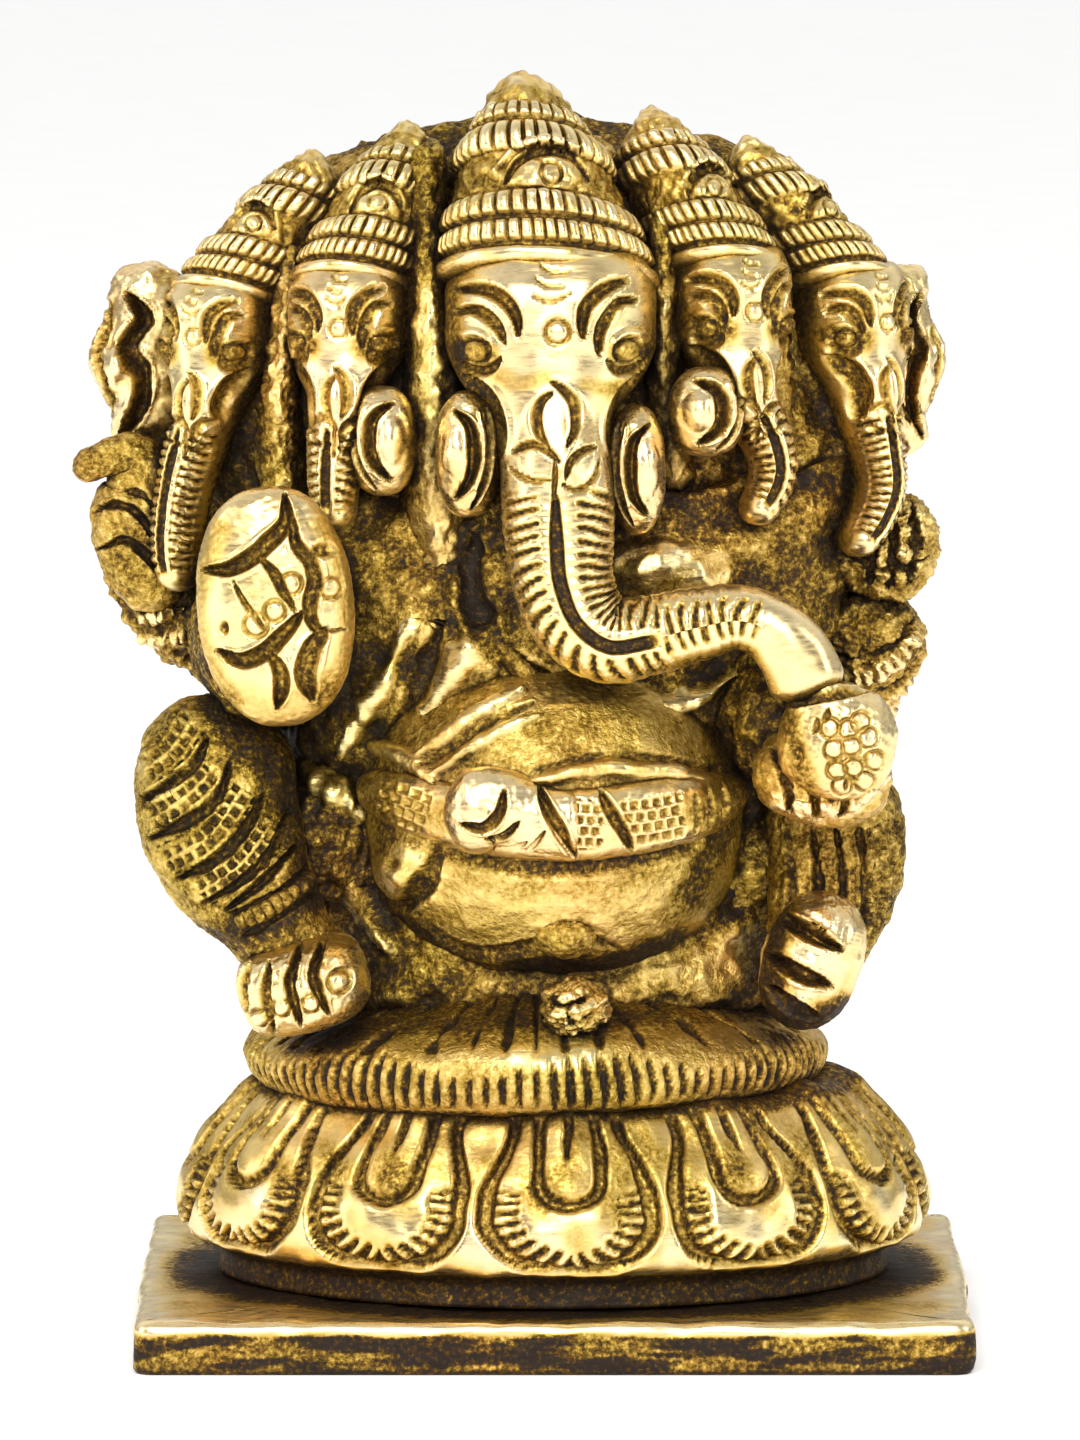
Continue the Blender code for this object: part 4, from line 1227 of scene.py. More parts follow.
# The crown's rings: height of the front, how far forward that is, half width and tip in degrees.
CROWN_RINGS = (
    (4.6, -4.6, 6.6, 20), (5.6, -5.35, 7.25, 21), (6.3, -5.6, 7.6, 22), (7.6, -5.5, 7.55, 22),
    (8.7, -5.15, 7.25, 23), (9.8, -4.7, 6.95, 24), (10.7, -4.2, 6.65, 25), (11.6, -3.6, 6.25, 26),
    (12.9, -2.8, 5.75, 28), (14.0, -2.1, 5.35, 30), (15.0, -1.6, 5.1, 32), (15.8, -0.9, 4.6, 34),
    (16.7, 0.0, 4.0, 36), (17.6, 0.7, 3.3, 37), (18.4, 1.5, 2.6, 38), (18.9, 2.3, 1.8, 38),
    (19.1, 3.0, 0.7, 38))

# Its rows of beads: from which height to which, how many beads, and how far they stand out.
BEAD_ROWS = ((7.95, 9.35, 50, 0.5), (9.75, 11.25, 42, 0.55), (14.0, 15.9, 32, 0.65), (16.3, 17.2, 30, 0.35))

# From the middle of the dark band round the crown.
JEWEL = ((Mark(Tool.DOME, ((0.2, -0.1),), 5.6, 0.5, tall=3.0),)
         + gouges(0.75, 0.5, ((-3.0, -0.9), (-1.8, 0.7), (0.0, 1.5), (2.0, 0.9), (3.0, -0.6)))
         + (Mark(Tool.RIDGE, ((-3.6, 0.0), (-2.0, 1.7), (0.2, 2.4), (2.4, 1.7)), 0.5, 0.3),
            Mark(Tool.RING, ((0.4, -0.1),), 1.6, 0.3)))

# From the middle of a spread ear, drawn at the size of a folded one.
SPREAD_EAR_MARKS = (gouges(0.9, 0.9, ((0.6, 3.0), (-0.2, 1.8), (0.5, 0.8), (-0.1, -0.6), (0.2, -2.4),
                                      (0.9, -3.4)))
                    + gouges(0.55, 0.6, ((1.6, 2.6), (1.5, 1.4), (1.9, 0.6), (1.6, -0.8), (1.4, -2.2)))
                    + (Mark(Tool.DOME, ((0.9, -0.4),), 1.2, 0.4, tall=2.6),
                       Mark(Tool.DOME, ((-1.1, 2.2),), 1.6, 0.5, tall=2.4)))

# Painted shade and dirt in the side heads' eye sockets.
SOCKETS = (Mark(Tool.DIRT, ((-6.9, -1.2), (-5.4, -1.4), (-3.9, -1.6)), 3.6, 0.75),
           Mark(Tool.DIRT, ((3.2, -1.6), (4.8, -1.4), (6.6, -1.2)), 3.6, 0.75))

# Painted shade and dirt on the middle face: down both its sides, in the eyes, under the crown and on the
# cheeks.
MIDDLE_SHADE_AND_DIRT = (Mark(Tool.DIRT, ((-7.4, 4.6), (-7.6, 0.5), (-6.6, -4.2)), 2.6, 0.62),
                Mark(Tool.DIRT, ((7.0, 4.4), (7.2, 0.4), (6.3, -4.2)), 2.6, 0.58),
                Mark(Tool.DIRT, ((-6.7, -1.6), (-5.7, -1.5), (-4.8, -1.6)), 2.2, 0.5),
                Mark(Tool.DIRT, ((4.2, -1.6), (4.9, -1.5), (5.8, -1.6)), 2.2, 0.46),
                Mark(Tool.DIRT, ((-6.8, 4.7), (-3.0, 6.0), (1.0, 6.3), (5.8, 5.0)), 1.7, 0.5),
                Mark(Tool.DIRT, ((-4.6, -2.9), (-2.8, -3.6), (-1.0, -3.3)), 1.8, 0.26),
                Mark(Tool.DIRT, ((2.0, -3.7), (3.2, -4.0), (4.6, -3.9)), 1.6, 0.26))

def side_head(name: str, **own: object) -> ElephantHead:
    """A side head, with what the four of them share.

    Args:
        name: The start of its nodes' names.
        own: What is its own, such as its turn, its trunk and its ears.

    Returns:
        The head.
    """
    return ElephantHead(name, groove=(-8.6, TO_THE_TIP), detail=0.6, squeeze=0.72, bold=1.4, tall_crown=0.4,
                        extra=SOCKETS, **own)


HEADS = (
    ElephantHead(
        "centre", crown_lean=-2.4, extra=MIDDLE_SHADE_AND_DIRT,
        trunk=((0.35, -4.2, -6.4, 4.1, 4.4), (0.6, -5.2, -9.6, 4.0, 4.1), (0.7, -6.1, -13.1, 3.8, 3.6),
               (1.0, -6.7, -16.0, 3.5, 3.3), (2.1, -7.1, -18.6, 3.3, 3.1), (4.2, -7.4, -20.1, 3.05, 3.0),
               (6.8, -7.6, -19.8, 2.75, 2.9), (10.5, -7.7, -18.9, 2.55, 2.6), (13.6, -7.8, -18.5, 2.2, 2.3),
               (15.6, -7.9, -19.3, 2.35, 2.3), (17.1, -8.0, -20.9, 2.6, 2.4), (18.1, -8.0, -22.9, 2.7, 2.4),
               (18.5, -7.9, -24.3, 2.6, 2.2)),
        ears=(Ear("centre_ear_left", (2.3, 2.3, 4.5)),
              Ear("centre_ear_right", (2.1, 2.3, 4.6), shift=(0.1, 0.0, -0.5), mirrored=True))),
    side_head(
        "inner_left", scale=0.8, turn=-12, crown_lean=7.5, seed=90, shift=(-1.4, -0.6, 0.0),
        trunk=((0.0, -4.0, -6.8, 4.0, 4.0), (-0.2, -5.0, -10.5, 3.4, 3.6), (-0.2, -5.8, -13.5, 2.9, 3.0),
               (0.0, -5.9, -16.4, 2.6, 2.7)),
        ears=(Ear("inner_left_ear", (2.5, 2.2, 3.9), shift=(-2.3, -1.2, 0.2), mirrored=True),)),
    side_head(
        "inner_right", scale=0.8, turn=16, crown_lean=-8.5, seed=130, stain=0.08, shift=(0.5, -0.6, 0.4),
        trunk=((0.8, -4.0, -6.6, 3.8, 4.0), (2.2, -5.0, -9.6, 3.2, 3.6), (2.7, -5.8, -12.5, 2.8, 3.0),
               (1.9, -5.9, -15.0, 2.5, 2.6), (0.2, -5.9, -17.1, 2.0, 2.2)),
        ears=(Ear("inner_right_ear", (2.8, 2.2, 3.2), shift=(1.4, -0.9, 1.0)),)),
    side_head(
        "outer_left", scale=0.74, turn=-30, crown_lean=12.5, seed=170, stain=0.08, shift=(-1.6, -0.6, 0.0),
        trunk=((-0.2, -4.0, -6.8, 4.0, 4.0), (-0.9, -5.2, -10.5, 3.5, 3.7), (-1.6, -6.0, -15.0, 3.3, 3.3),
               (-2.0, -6.0, -19.5, 3.1, 3.0), (-1.6, -5.8, -23.2, 2.4, 2.4)),
        ears=(Ear("outer_left_ear", (3.9, 2.4, 6.9), shift=(-2.6, -1.2, 0.0), mirrored=True,
                  shape=EarShape.SPREAD),)),
    side_head(
        "outer_right", scale=0.74, turn=32, crown_lean=-13.0, seed=210, stain=0.08, shift=(0.6, -0.6, 0.3),
        trunk=((0.1, -4.0, -6.8, 3.8, 4.0), (0.6, -5.2, -10.5, 3.2, 3.6), (0.6, -6.0, -14.5, 2.8, 3.2),
               (-0.9, -6.0, -18.0, 2.5, 2.9), (-3.2, -5.8, -20.6, 2.0, 2.4)),
        ears=(Ear("outer_right_ear", (2.6, 2.4, 6.9), shift=(0.6, -0.6, 0.0),
                  shape=EarShape.SPREAD),)),
)


# ---------------------------------------------------------------- body, limbs and hands

@dataclass(frozen=True)
class Lump:
    """A wax shape of the body: a sweep or an egg, the marks on it, and how it was left."""

    node: str
    name: str
    stations: tuple[Point, ...] = ()  # x, y, z, half width, half depth from the node's middle
    half: Point = ()  # half axes, for an egg
    shift: Point = (0.0, 0.0, 0.0)
    marks: tuple[Mark, ...] = ()
    finish: Finish = Finish.AGED
    stain: float = 0.5
    rough: tuple[float, float] = (0.12, 3.0)  # height and size of its unevenness
    grid: tuple[int, int] = (110, 120)
    facing: Point = (0.0, -1.0, 0.0)
    upright: bool = False
    caps: tuple[float, float] = (3.0, 3.0)
    blunt: float = 1.0
    lean: float = 0.0
    turn: float = 0.0  # degrees that its worked side is turned to the viewer's right
    seed: int = 300

    def shape(self) -> Shell:
        """The bare shape.

        Returns:
            A shell in its place, with nothing worked on it.
        """
        spot = middle(self.node) + np.array(self.shift)
        if self.half:
            points = egg(self.half, *self.grid, 0.4, self.blunt, self.lean)
        else:
            points = sweep(np.array(self.stations), *self.grid, 0.35, self.facing, self.upright,
                           self.caps)
        return Shell(points + spot, self.stain)

    def build(self) -> None:
        """Shapes, roughens and chases the piece, and puts it in the scene."""
        shell = self.shape()
        chisel = shell.chisel(middle(self.node), self.turn)
        for mark in self.marks:
            chisel.work(mark)
        shell.carve(chisel)
        shell.roughen(*self.rough, self.seed)
        # Painted shade where the piece turns away from the front.
        away = ease(0.15, -0.5, shell.normals() @ heading(self.turn))
        shell.darken(0.6 * away)
        shell.cast(self.name, (self.node,), self.finish)


@dataclass
class Assembly:
    """Lumps that belong together."""

    lumps: tuple[Lump, ...] = ()

    def build(self) -> None:
        """Builds each lump."""
        for lump in self.lumps:
            lump.build()


def slope_bands(pitch: float, *bands: Route) -> tuple[Mark, ...]:
    """Bands along routes that are rubbed bright and dimpled, with pitch between dimples."""
    return tuple(Mark(Tool.SHINE, band, 2.0, 0.16) for band in bands) + tuple(
        Mark(Tool.BRICKS, band, 2.4, 0.34, pitch=pitch) for band in bands)


PALM_MARKS = (
    gouges(1.35, 0.8, ((0.7, 7.9), (0.8, 6.2), (-0.4, 4.8), (-1.7, 3.7), (-3.2, 2.9), (-5.0, 2.7)),
           ((-4.0, -3.0), (-2.5, -3.6), (-0.9, -3.1), (0.5, -1.8), (1.9, -0.2)))
    + gouges(1.25, 0.7, ((1.3, 6.4), (1.5, 4.7), (2.6, 3.3), (2.9, 2.1), (2.5, 0.5), (2.7, -0.9),
                         (3.6, -1.9)),
             ((-0.6, -2.9), (0.3, -4.1), (0.45, -5.4), (0.1, -7.0)))
    + gouges(1.7, 0.75, ((3.6, -1.4), (2.6, -2.8), (2.15, -4.4), (2.6, -6.4)))
    + gouges(0.85, 0.5, ((-1.0, 3.7), (0.0, 2.6), (0.65, 1.3), (1.4, 0.1)))
    + gouges(0.55, 0.4, ((-2.9, 2.0), (-2.1, 0.5), (-1.3, -0.5), (-0.6, -1.5)))
    + gouges(0.3, 0.3, ((3.5, -1.5), (5.0, -1.5)))
    + rings(1.6, 0.26, (1.2, 1.9), (0.0, 0.0), (4.0, 1.5)) + rings(1.8, 0.26, (-1.35, -1.0))
    # Painted shade along the palm's bottom and both its side edges.
    + (Mark(Tool.DIRT, ((-2.6, -6.6), (0.4, -7.4), (3.0, -5.6)), 4.4, 0.16),
       Mark(Tool.DIRT, ((3.4, 6.0), (5.0, 2.0), (5.0, -3.0), (3.4, -6.6)), 2.6, 0.26),
       Mark(Tool.DIRT, ((-3.8, 5.6), (-5.2, 1.0), (-5.0, -3.0), (-3.0, -6.6)), 2.2, 0.24),
       Mark(Tool.PIT, ((3.3, 4.1),), 2.4, 0.5, tall=1.5),
       Mark(Tool.PIT, ((-3.6, -1.3),), 0.8, 0.4, tall=1.3)))

BOWL_MARKS = (
    rings(1.5, 0.26, (-0.6, 1.5), (0.7, 1.4), (1.6, 1.9), (-0.3, 0.0), (0.9, 0.2), (2.1, 0.8), (2.6, -0.9),
          (-0.1, -1.5), (1.1, -1.3), (1.9, -2.4), (0.3, -2.7))
    + gouges(0.6, 0.35, ((-1.8, 1.1), (-1.5, 1.6), (-1.5, 2.1)), ((-1.1, 1.9), (-0.8, 2.3), (-0.7, 2.8)),
             ((0.5, -2.9), (0.7, -2.3), (1.4, -2.2)))
    + (Mark(Tool.PIT, ((-3.0, -0.4),), 1.6, 0.4, tall=2.4),
       Mark(Tool.DIRT, ((-4.0, 3.0), (-3.2, 0.6), (-2.2, -2.8)), 2.8, 0.4),
       Mark(Tool.LINE, ((-3.6, 3.0), (-0.4, 3.7), (3.4, 4.4)), 0.9, 0.6)))

KNEE_MARKS = (
    tuple(Mark(Tool.GOUGE, route, width, 0.75) for route, width in (
        (((-6.6, 2.2), (-4.3, 3.7), (-2.5, 5.3), (-1.8, 6.9)), 0.95),
        (((-5.9, -0.4), (-2.8, 1.4), (-0.9, 2.9), (-0.1, 5.2)), 1.05),
        (((-3.9, -3.1), (-0.4, -0.9), (1.1, 0.8), (2.3, 2.9)), 1.0),
        (((-2.0, -4.6), (0.8, -2.8), (3.0, -0.6), (4.0, 1.8)), 0.8),
        (((-0.4, -5.0), (2.3, -2.9), (4.6, -0.6)), 0.8)))
    + slope_bands(0.9, ((-6.3, 4.4), (-4.4, 6.0), (-2.9, 8.0)), ((-5.9, 1.0), (-3.5, 2.6), (-1.5, 4.6)),
                  ((-4.8, -1.9), (-1.6, 0.2), (0.8, 3.4)), ((-2.3, -3.9), (0.8, -1.6), (3.0, 1.2)))
    + (Mark(Tool.BEADS, ((0.4, -6.0), (2.6, -4.9), (4.7, -3.7), (6.1, -2.8)), 1.1, 0.5, pitch=0.7),
       Mark(Tool.DIRT, ((-0.6, 9.4), (2.6, 5.0), (4.6, 0.6), (6.4, -3.4)), 5.4, 0.42),
       Mark(Tool.DIRT, ((-0.6, -7.2), (2.8, -5.4), (6.2, -3.6)), 4.4, 0.36),
       Mark(Tool.LINE, ((0.1, -5.2), (2.3, -4.1), (4.4, -2.9), (5.8, -2.0)), 0.45, 0.4),
       Mark(Tool.LINE, ((0.9, -6.9), (2.9, -5.7), (5.0, -4.5), (6.4, -3.7)), 0.45, 0.4)))

FOOT_MARKS = (
    gouges(0.95, 0.75, ((-2.2, 2.2), (-2.5, -0.3), (-1.9, -2.9)), ((0.0, 3.4), (-0.7, 1.2), (0.0, -2.2)),
           ((1.7, 3.9), (1.0, 1.7), (2.0, -1.4)))
    + gouges(0.8, 0.6, ((-3.6, 1.9), (-4.1, 0.3), (-3.9, -1.5)))
    + rings(1.35, 0.3, (-3.0, -1.9), (-1.35, -0.9), (0.75, -0.6)) + rings(1.7, 0.3, (2.8, 0.9))
    + (Mark(Tool.DIRT, ((-3.4, 3.4), (0.0, 4.4), (4.0, 4.2)), 3.0, 0.5),))

BELLY_MARKS = (
    Mark(Tool.RIDGE, ((-1.8, 2.6), (3.3, 3.5), (8.0, 3.0), (11.6, 1.9)), 1.3, 0.7),
    Mark(Tool.GOUGE, ((-1.6, 3.4), (3.3, 4.4), (8.0, 3.9), (11.8, 2.7)), 0.6, 0.35),
    Mark(Tool.LINE, ((-8.4, -2.5), (-2.6, -3.3), (3.0, -3.3), (9.6, -2.3)), 1.5, 0.5),
    Mark(Tool.BEADS, ((-8.2, -2.6), (-2.6, -3.4), (3.0, -3.4), (9.4, -2.4)), 0.75, 0.4, pitch=0.8),
    Mark(Tool.RIDGE, ((-9.6, 3.8), (-7.0, 5.9), (-4.8, 7.4), (-2.0, 8.6)), 1.0, 0.6),
    Mark(Tool.RIDGE, ((-8.6, 2.6), (-6.0, 4.6), (-3.4, 6.2), (-1.0, 7.0)), 0.9, 0.5),
    Mark(Tool.GOUGE, ((-9.2, 3.2), (-6.6, 5.2), (-4.2, 6.8), (-1.4, 7.9)), 0.6, 0.4),
    Mark(Tool.DOME, ((-10.6, -4.6),), 4.6, 1.0, tall=5.0),
    Mark(Tool.PIT, ((-10.9, -3.7),), 1.3, 0.35, tall=1.1),
    Mark(Tool.GOUGE, ((-8.3, -2.6), (-8.9, -4.6), (-10.8, -7.4)), 1.7, 0.9),
    Mark(Tool.RIDGE, ((-13.2, 3.9), (-10.6, 3.8), (-8.0, 2.2)), 1.5, 0.8),
    Mark(Tool.GOUGE, ((-10.2, -7.2), (-6.0, -10.0), (-1.6, -9.4), (1.4, -8.6), (4.6, -9.6)), 1.3, 0.6),
    # The lower belly is rubbed bright and the top is lighter; painted shade darkens the belly's two sides and
    # its bottom, where it meets the lap.
    Mark(Tool.SHINE, ((-8.0, -5.4), (-3.0, -6.6), (3.0, -6.4), (8.0, -5.6)), 4.2, 0.1),
    Mark(Tool.SHINE, ((-2.0, 8.0), (4.0, 9.0), (8.6, 7.6)), 3.4, 0.2),
    Mark(Tool.DIRT, ((-12.6, 6.0), (-12.0, 0.0), (-11.6, -8.0)), 3.0, 0.3),
    Mark(Tool.DIRT, ((-10.4, -9.0), (-6.0, -11.6), (-1.0, -11.0), (3.0, -11.2), (8.6, -10.0)), 3.6, 0.55),
    Mark(Tool.DIRT, ((9.6, -6.0), (11.4, -2.0), (12.0, 4.0)), 3.6, 0.3))

TORSO_MARKS = (
    Mark(Tool.RIDGE, ((-3.8, 12.0), (-6.8, 6.8), (-9.4, 1.6)), 4.6, 0.9),
    Mark(Tool.RIDGE, ((-10.0, 11.6), (-12.3, 6.8), (-14.9, 1.8)), 1.6, 0.6),
    Mark(Tool.RIDGE, ((-4.6, 11.6), (-2.9, 9.0), (0.1, 6.3), (5.1, 5.0), (9.4, 6.1), (13.8, 8.6)), 1.8, 1.1),
    Mark(Tool.GOUGE, ((-8.0, 11.6), (-9.6, 6.4), (-11.8, 1.4)), 1.8, 0.9),
    Mark(Tool.GOUGE, ((-5.6, 18.0), (-5.6, 13.0), (-3.4, 9.2), (0.4, 7.4)), 2.2, 0.9),
    Mark(Tool.DOME, ((7.6, 15.2),), 11.0, 1.6, tall=5.6),
    Mark(Tool.RIDGE, ((-15.2, -5.4), (-13.6, -8.8), (-11.4, -12.0)), 1.8, 1.1),
    # Lighter along the ridges, on the dome and low on the right, rubbed bright with a painted highlight;
    # darker beside the palm, under the dome and down the sides with painted shade.
    Mark(Tool.SHINE, ((-15.2, -5.4), (-13.6, -8.8), (-11.4, -12.0)), 1.5, 0.26),
    Mark(Tool.SHINE, ((-3.8, 12.0), (-6.8, 6.8), (-9.4, 1.6)), 3.6, 0.06),
    Mark(Tool.SHINE, ((-10.0, 11.6), (-12.3, 6.8), (-14.9, 1.8)), 1.3, 0.2),
    Mark(Tool.SHINE, ((-4.6, 11.6), (-2.9, 9.0), (0.1, 6.3), (5.1, 5.0), (9.4, 6.1), (13.8, 8.6)), 1.5, 0.2),
    Mark(Tool.SHINE, ((-8.6, 19.5), (-9.4, 15.0), (-9.0, 11.0)), 4.0, 0.22),
    Mark(Tool.SHINE, ((5.0, -12.6), (9.0, -13.2), (12.6, -12.4)), 6.4, 0.35),
    Mark(Tool.SHINE, ((4.6, 15.6), (8.0, 16.0), (12.0, 15.4)), 3.4, 0.25),
    Mark(Tool.DIRT, ((-15.6, 14.0), (-16.4, 7.0), (-18.0, 1.0)), 6.4, 0.4),
    Mark(Tool.DIRT, ((-6.2, 20.0), (-5.8, 14.0), (-3.4, 9.6)), 3.4, 0.35),
    Mark(Tool.DIRT, ((8.0, 11.0), (13.0, 12.4), (17.4, 8.0)), 4.6, 0.3),
    Mark(Tool.DIRT, ((13.6, 4.0), (14.4, -4.0), (13.0, -9.0)), 4.4, 0.35),
    Mark(Tool.DIRT, ((-14.8, 0.0), (-13.6, -6.0), (-12.0, -13.0)), 5.0, 0.3))

SNAKE_MARKS = (
    (Mark(Tool.BRICKS, ((-18.2, 0.9), (-16.6, 0.7), (-14.8, 0.2)), 3.0, 0.26, pitch=0.8),)
    + gouges(1.05, 0.6, ((-2.5, 2.2), (-1.7, 0.7), (-0.9, -0.6), (-0.3, -2.0)))
    + gouges(0.9, 0.5, ((-7.0, 2.1), (-6.0, 0.7), (-5.0, -0.7), (-4.2, -2.4)))
    + (Mark(Tool.BRICKS, ((-5.2, 0.0), (-3.6, -0.1), (-2.3, -0.2)), 3.6, 0.3, pitch=0.8),
       Mark(Tool.BRICKS, ((-0.9, -0.1), (1.2, 0.0), (3.4, 0.3)), 3.4, 0.3, pitch=0.85),
       Mark(Tool.GOUGE, ((4.2, 1.6), (4.4, 0.2), (4.2, -1.2)), 0.5, 0.4),
       Mark(Tool.GOUGE, ((5.2, 1.8), (5.4, 0.4), (5.2, -1.0)), 0.5, 0.4),
       Mark(Tool.GOUGE, ((6.2, 1.9), (6.4, 0.6), (6.1, -0.8)), 0.5, 0.4),
       # Painted shade at both ends of the girdle, where it turns round the belly.
       Mark(Tool.DIRT, ((4.6, 0.4), (6.8, 0.7), (9.4, 1.2)), 4.0, 0.45),
       Mark(Tool.DIRT, ((-18.6, 0.9), (-16.2, 0.6), (-13.6, 0.2)), 3.6, 0.32)))

SNAKE_HEAD_MARKS = (
    gouges(0.95, 0.6, ((-1.9, -0.7), (-0.2, -1.0), (0.8, 0.0), (1.2, 1.6)))
    + gouges(0.6, 0.45, ((-0.1, -1.9), (1.0, -1.7), (2.2, -0.6)))
    + gouges(0.45, 0.35, ((1.0, -2.6), (1.8, -2.6), (2.7, -2.1)), ((2.7, -2.9), (3.5, -2.0), (4.0, -1.2)))
    + gouges(1.1, 0.65, ((3.6, 1.7), (4.3, 0.1), (5.2, -1.5), (6.0, -3.2))))


@dataclass
class Trunk(Assembly):
    """The body without its limbs: torso, belly, girdle with its snake, navel and mouse."""

    lumps: tuple[Lump, ...] = (
        Lump("torso", "lap_and_back", stain=0.62, rough=(0.3, 4.5), upright=True,
             grid=(200, 280), seed=310, caps=(0, 0), marks=TORSO_MARKS,
             stations=((0, 0.2, -17.4, 15.0, 9.2), (0, -0.2, -16.4, 16.6, 10.2), (0, -0.1, -12.0, 17.2, 10.4),
                       (0, 0.0, -6.5, 17.2, 10.2), (-0.6, 0.3, 0.0, 18.0, 9.9), (-0.8, 0.0, 5.5, 19.2, 10.3),
                       (0.4, -0.2, 11.0, 20.6, 10.3), (0, 0.2, 16.5, 22.6, 9.8), (-0.6, 1.0, 20.5, 21.8, 8.6),
                       (-0.6, 1.6, 22.5, 16.0, 6.0))),
        Lump("belly", "round_belly", stain=0.36, rough=(0.1, 3.2), half=(13.6, 12.3, 11.8),
             grid=(200, 260), marks=BELLY_MARKS, seed=320, blunt=0.84, shift=(0.0, -0.3, -1.1)),
        Lump("navel", "navel_boss", stain=0.5, rough=(0.1, 1.2), half=(2.3, 2.6, 1.7),
             grid=(80, 90), seed=330, shift=(0.0, -1.3, -0.2)),
        Lump("snake_head", "snake_head_and_neck", finish=Finish.POLISHED, stain=0.03, rough=(0.04, 2.2),
             grid=(130, 140), marks=SNAKE_HEAD_MARKS, seed=340, caps=(2.2, 1.0),
             stations=((-3.1, 0.4, -0.3, 2.4, 1.9), (-1.5, 0.2, -0.2, 3.0, 2.2), (0.6, 0.2, 0.1, 2.95, 2.1),
                       (3.0, 0.0, -0.6, 2.55, 1.7), (5.6, -0.3, -0.9, 2.35, 1.5),
                       (6.6, -0.2, -0.9, 2.2, 1.3))),
        Lump("mouse", "small_mouse", stain=0.2, rough=(0.32, 1.7), half=(2.3, 2.8, 1.9),
             grid=(80, 90), seed=350, shift=(0.2, 0.0, -0.3),
             marks=gouges(0.7, 0.45, ((-1.9, 1.0), (-0.6, 0.4), (0.6, 0.5), (1.9, 0.9)),
                          ((-0.4, 0.6), (0.0, -0.7), (0.5, -1.8)))))

    girdle_grid: tuple[int, int] = (290, 90)

    def build(self) -> None:
        """Builds each lump, and the girdle round the belly."""
        super().build()
        self.girdle()

    def girdle(self) -> None:
        """The snake's body: an oval section along an arc round the belly, thin at both ends."""
        belly = middle("belly") + np.array([0.0, -0.3, 0.0])
        turn = np.radians(np.linspace(-172, -10, 13))
        thin = np.array([1.3, 1.7, 2.0, 2.2, 2.3, 2.4, 2.5, 2.6, 2.6, 2.5, 2.3, 1.8, 1.2])
        rise = np.array([0.8, 0.8, 0.7, 0.4, 0.0, -0.3, -0.4, -0.3, 0.0, 0.2, 0.4, 0.6, 0.8])
        stations = np.stack([belly[0] + 13.2 * np.cos(turn), belly[1] + 12.0 * np.sin(turn),
                             belly[2] + rise, thin, 0.8 + 0.7 * thin / 2.4], axis=-1)
        rows, columns = self.girdle_grid
        line = spline(stations, rows)
        outward = line[:, :3] - belly
        outward[:, 2] = 0.0
        shell = Shell(sweep(stations, rows, columns, 0.35, outward, caps=(1.0, 1.0)), 0.1)
        shell.roughen(0.04, 2.4, 360)
        chisel = shell.chisel(middle("snake_girdle"), rim=-0.05)
        for mark in SNAKE_MARKS:
            chisel.work(mark)
        shell.carve(chisel)
        # Painted shade towards both ends, where the girdle turns round the belly.
        shell.darken(0.6 * ease(9.0, 12.0, np.abs(shell.points[..., 0])))
        shell.cast("snake_girdle_coil", ("snake_girdle",), Finish.POLISHED)


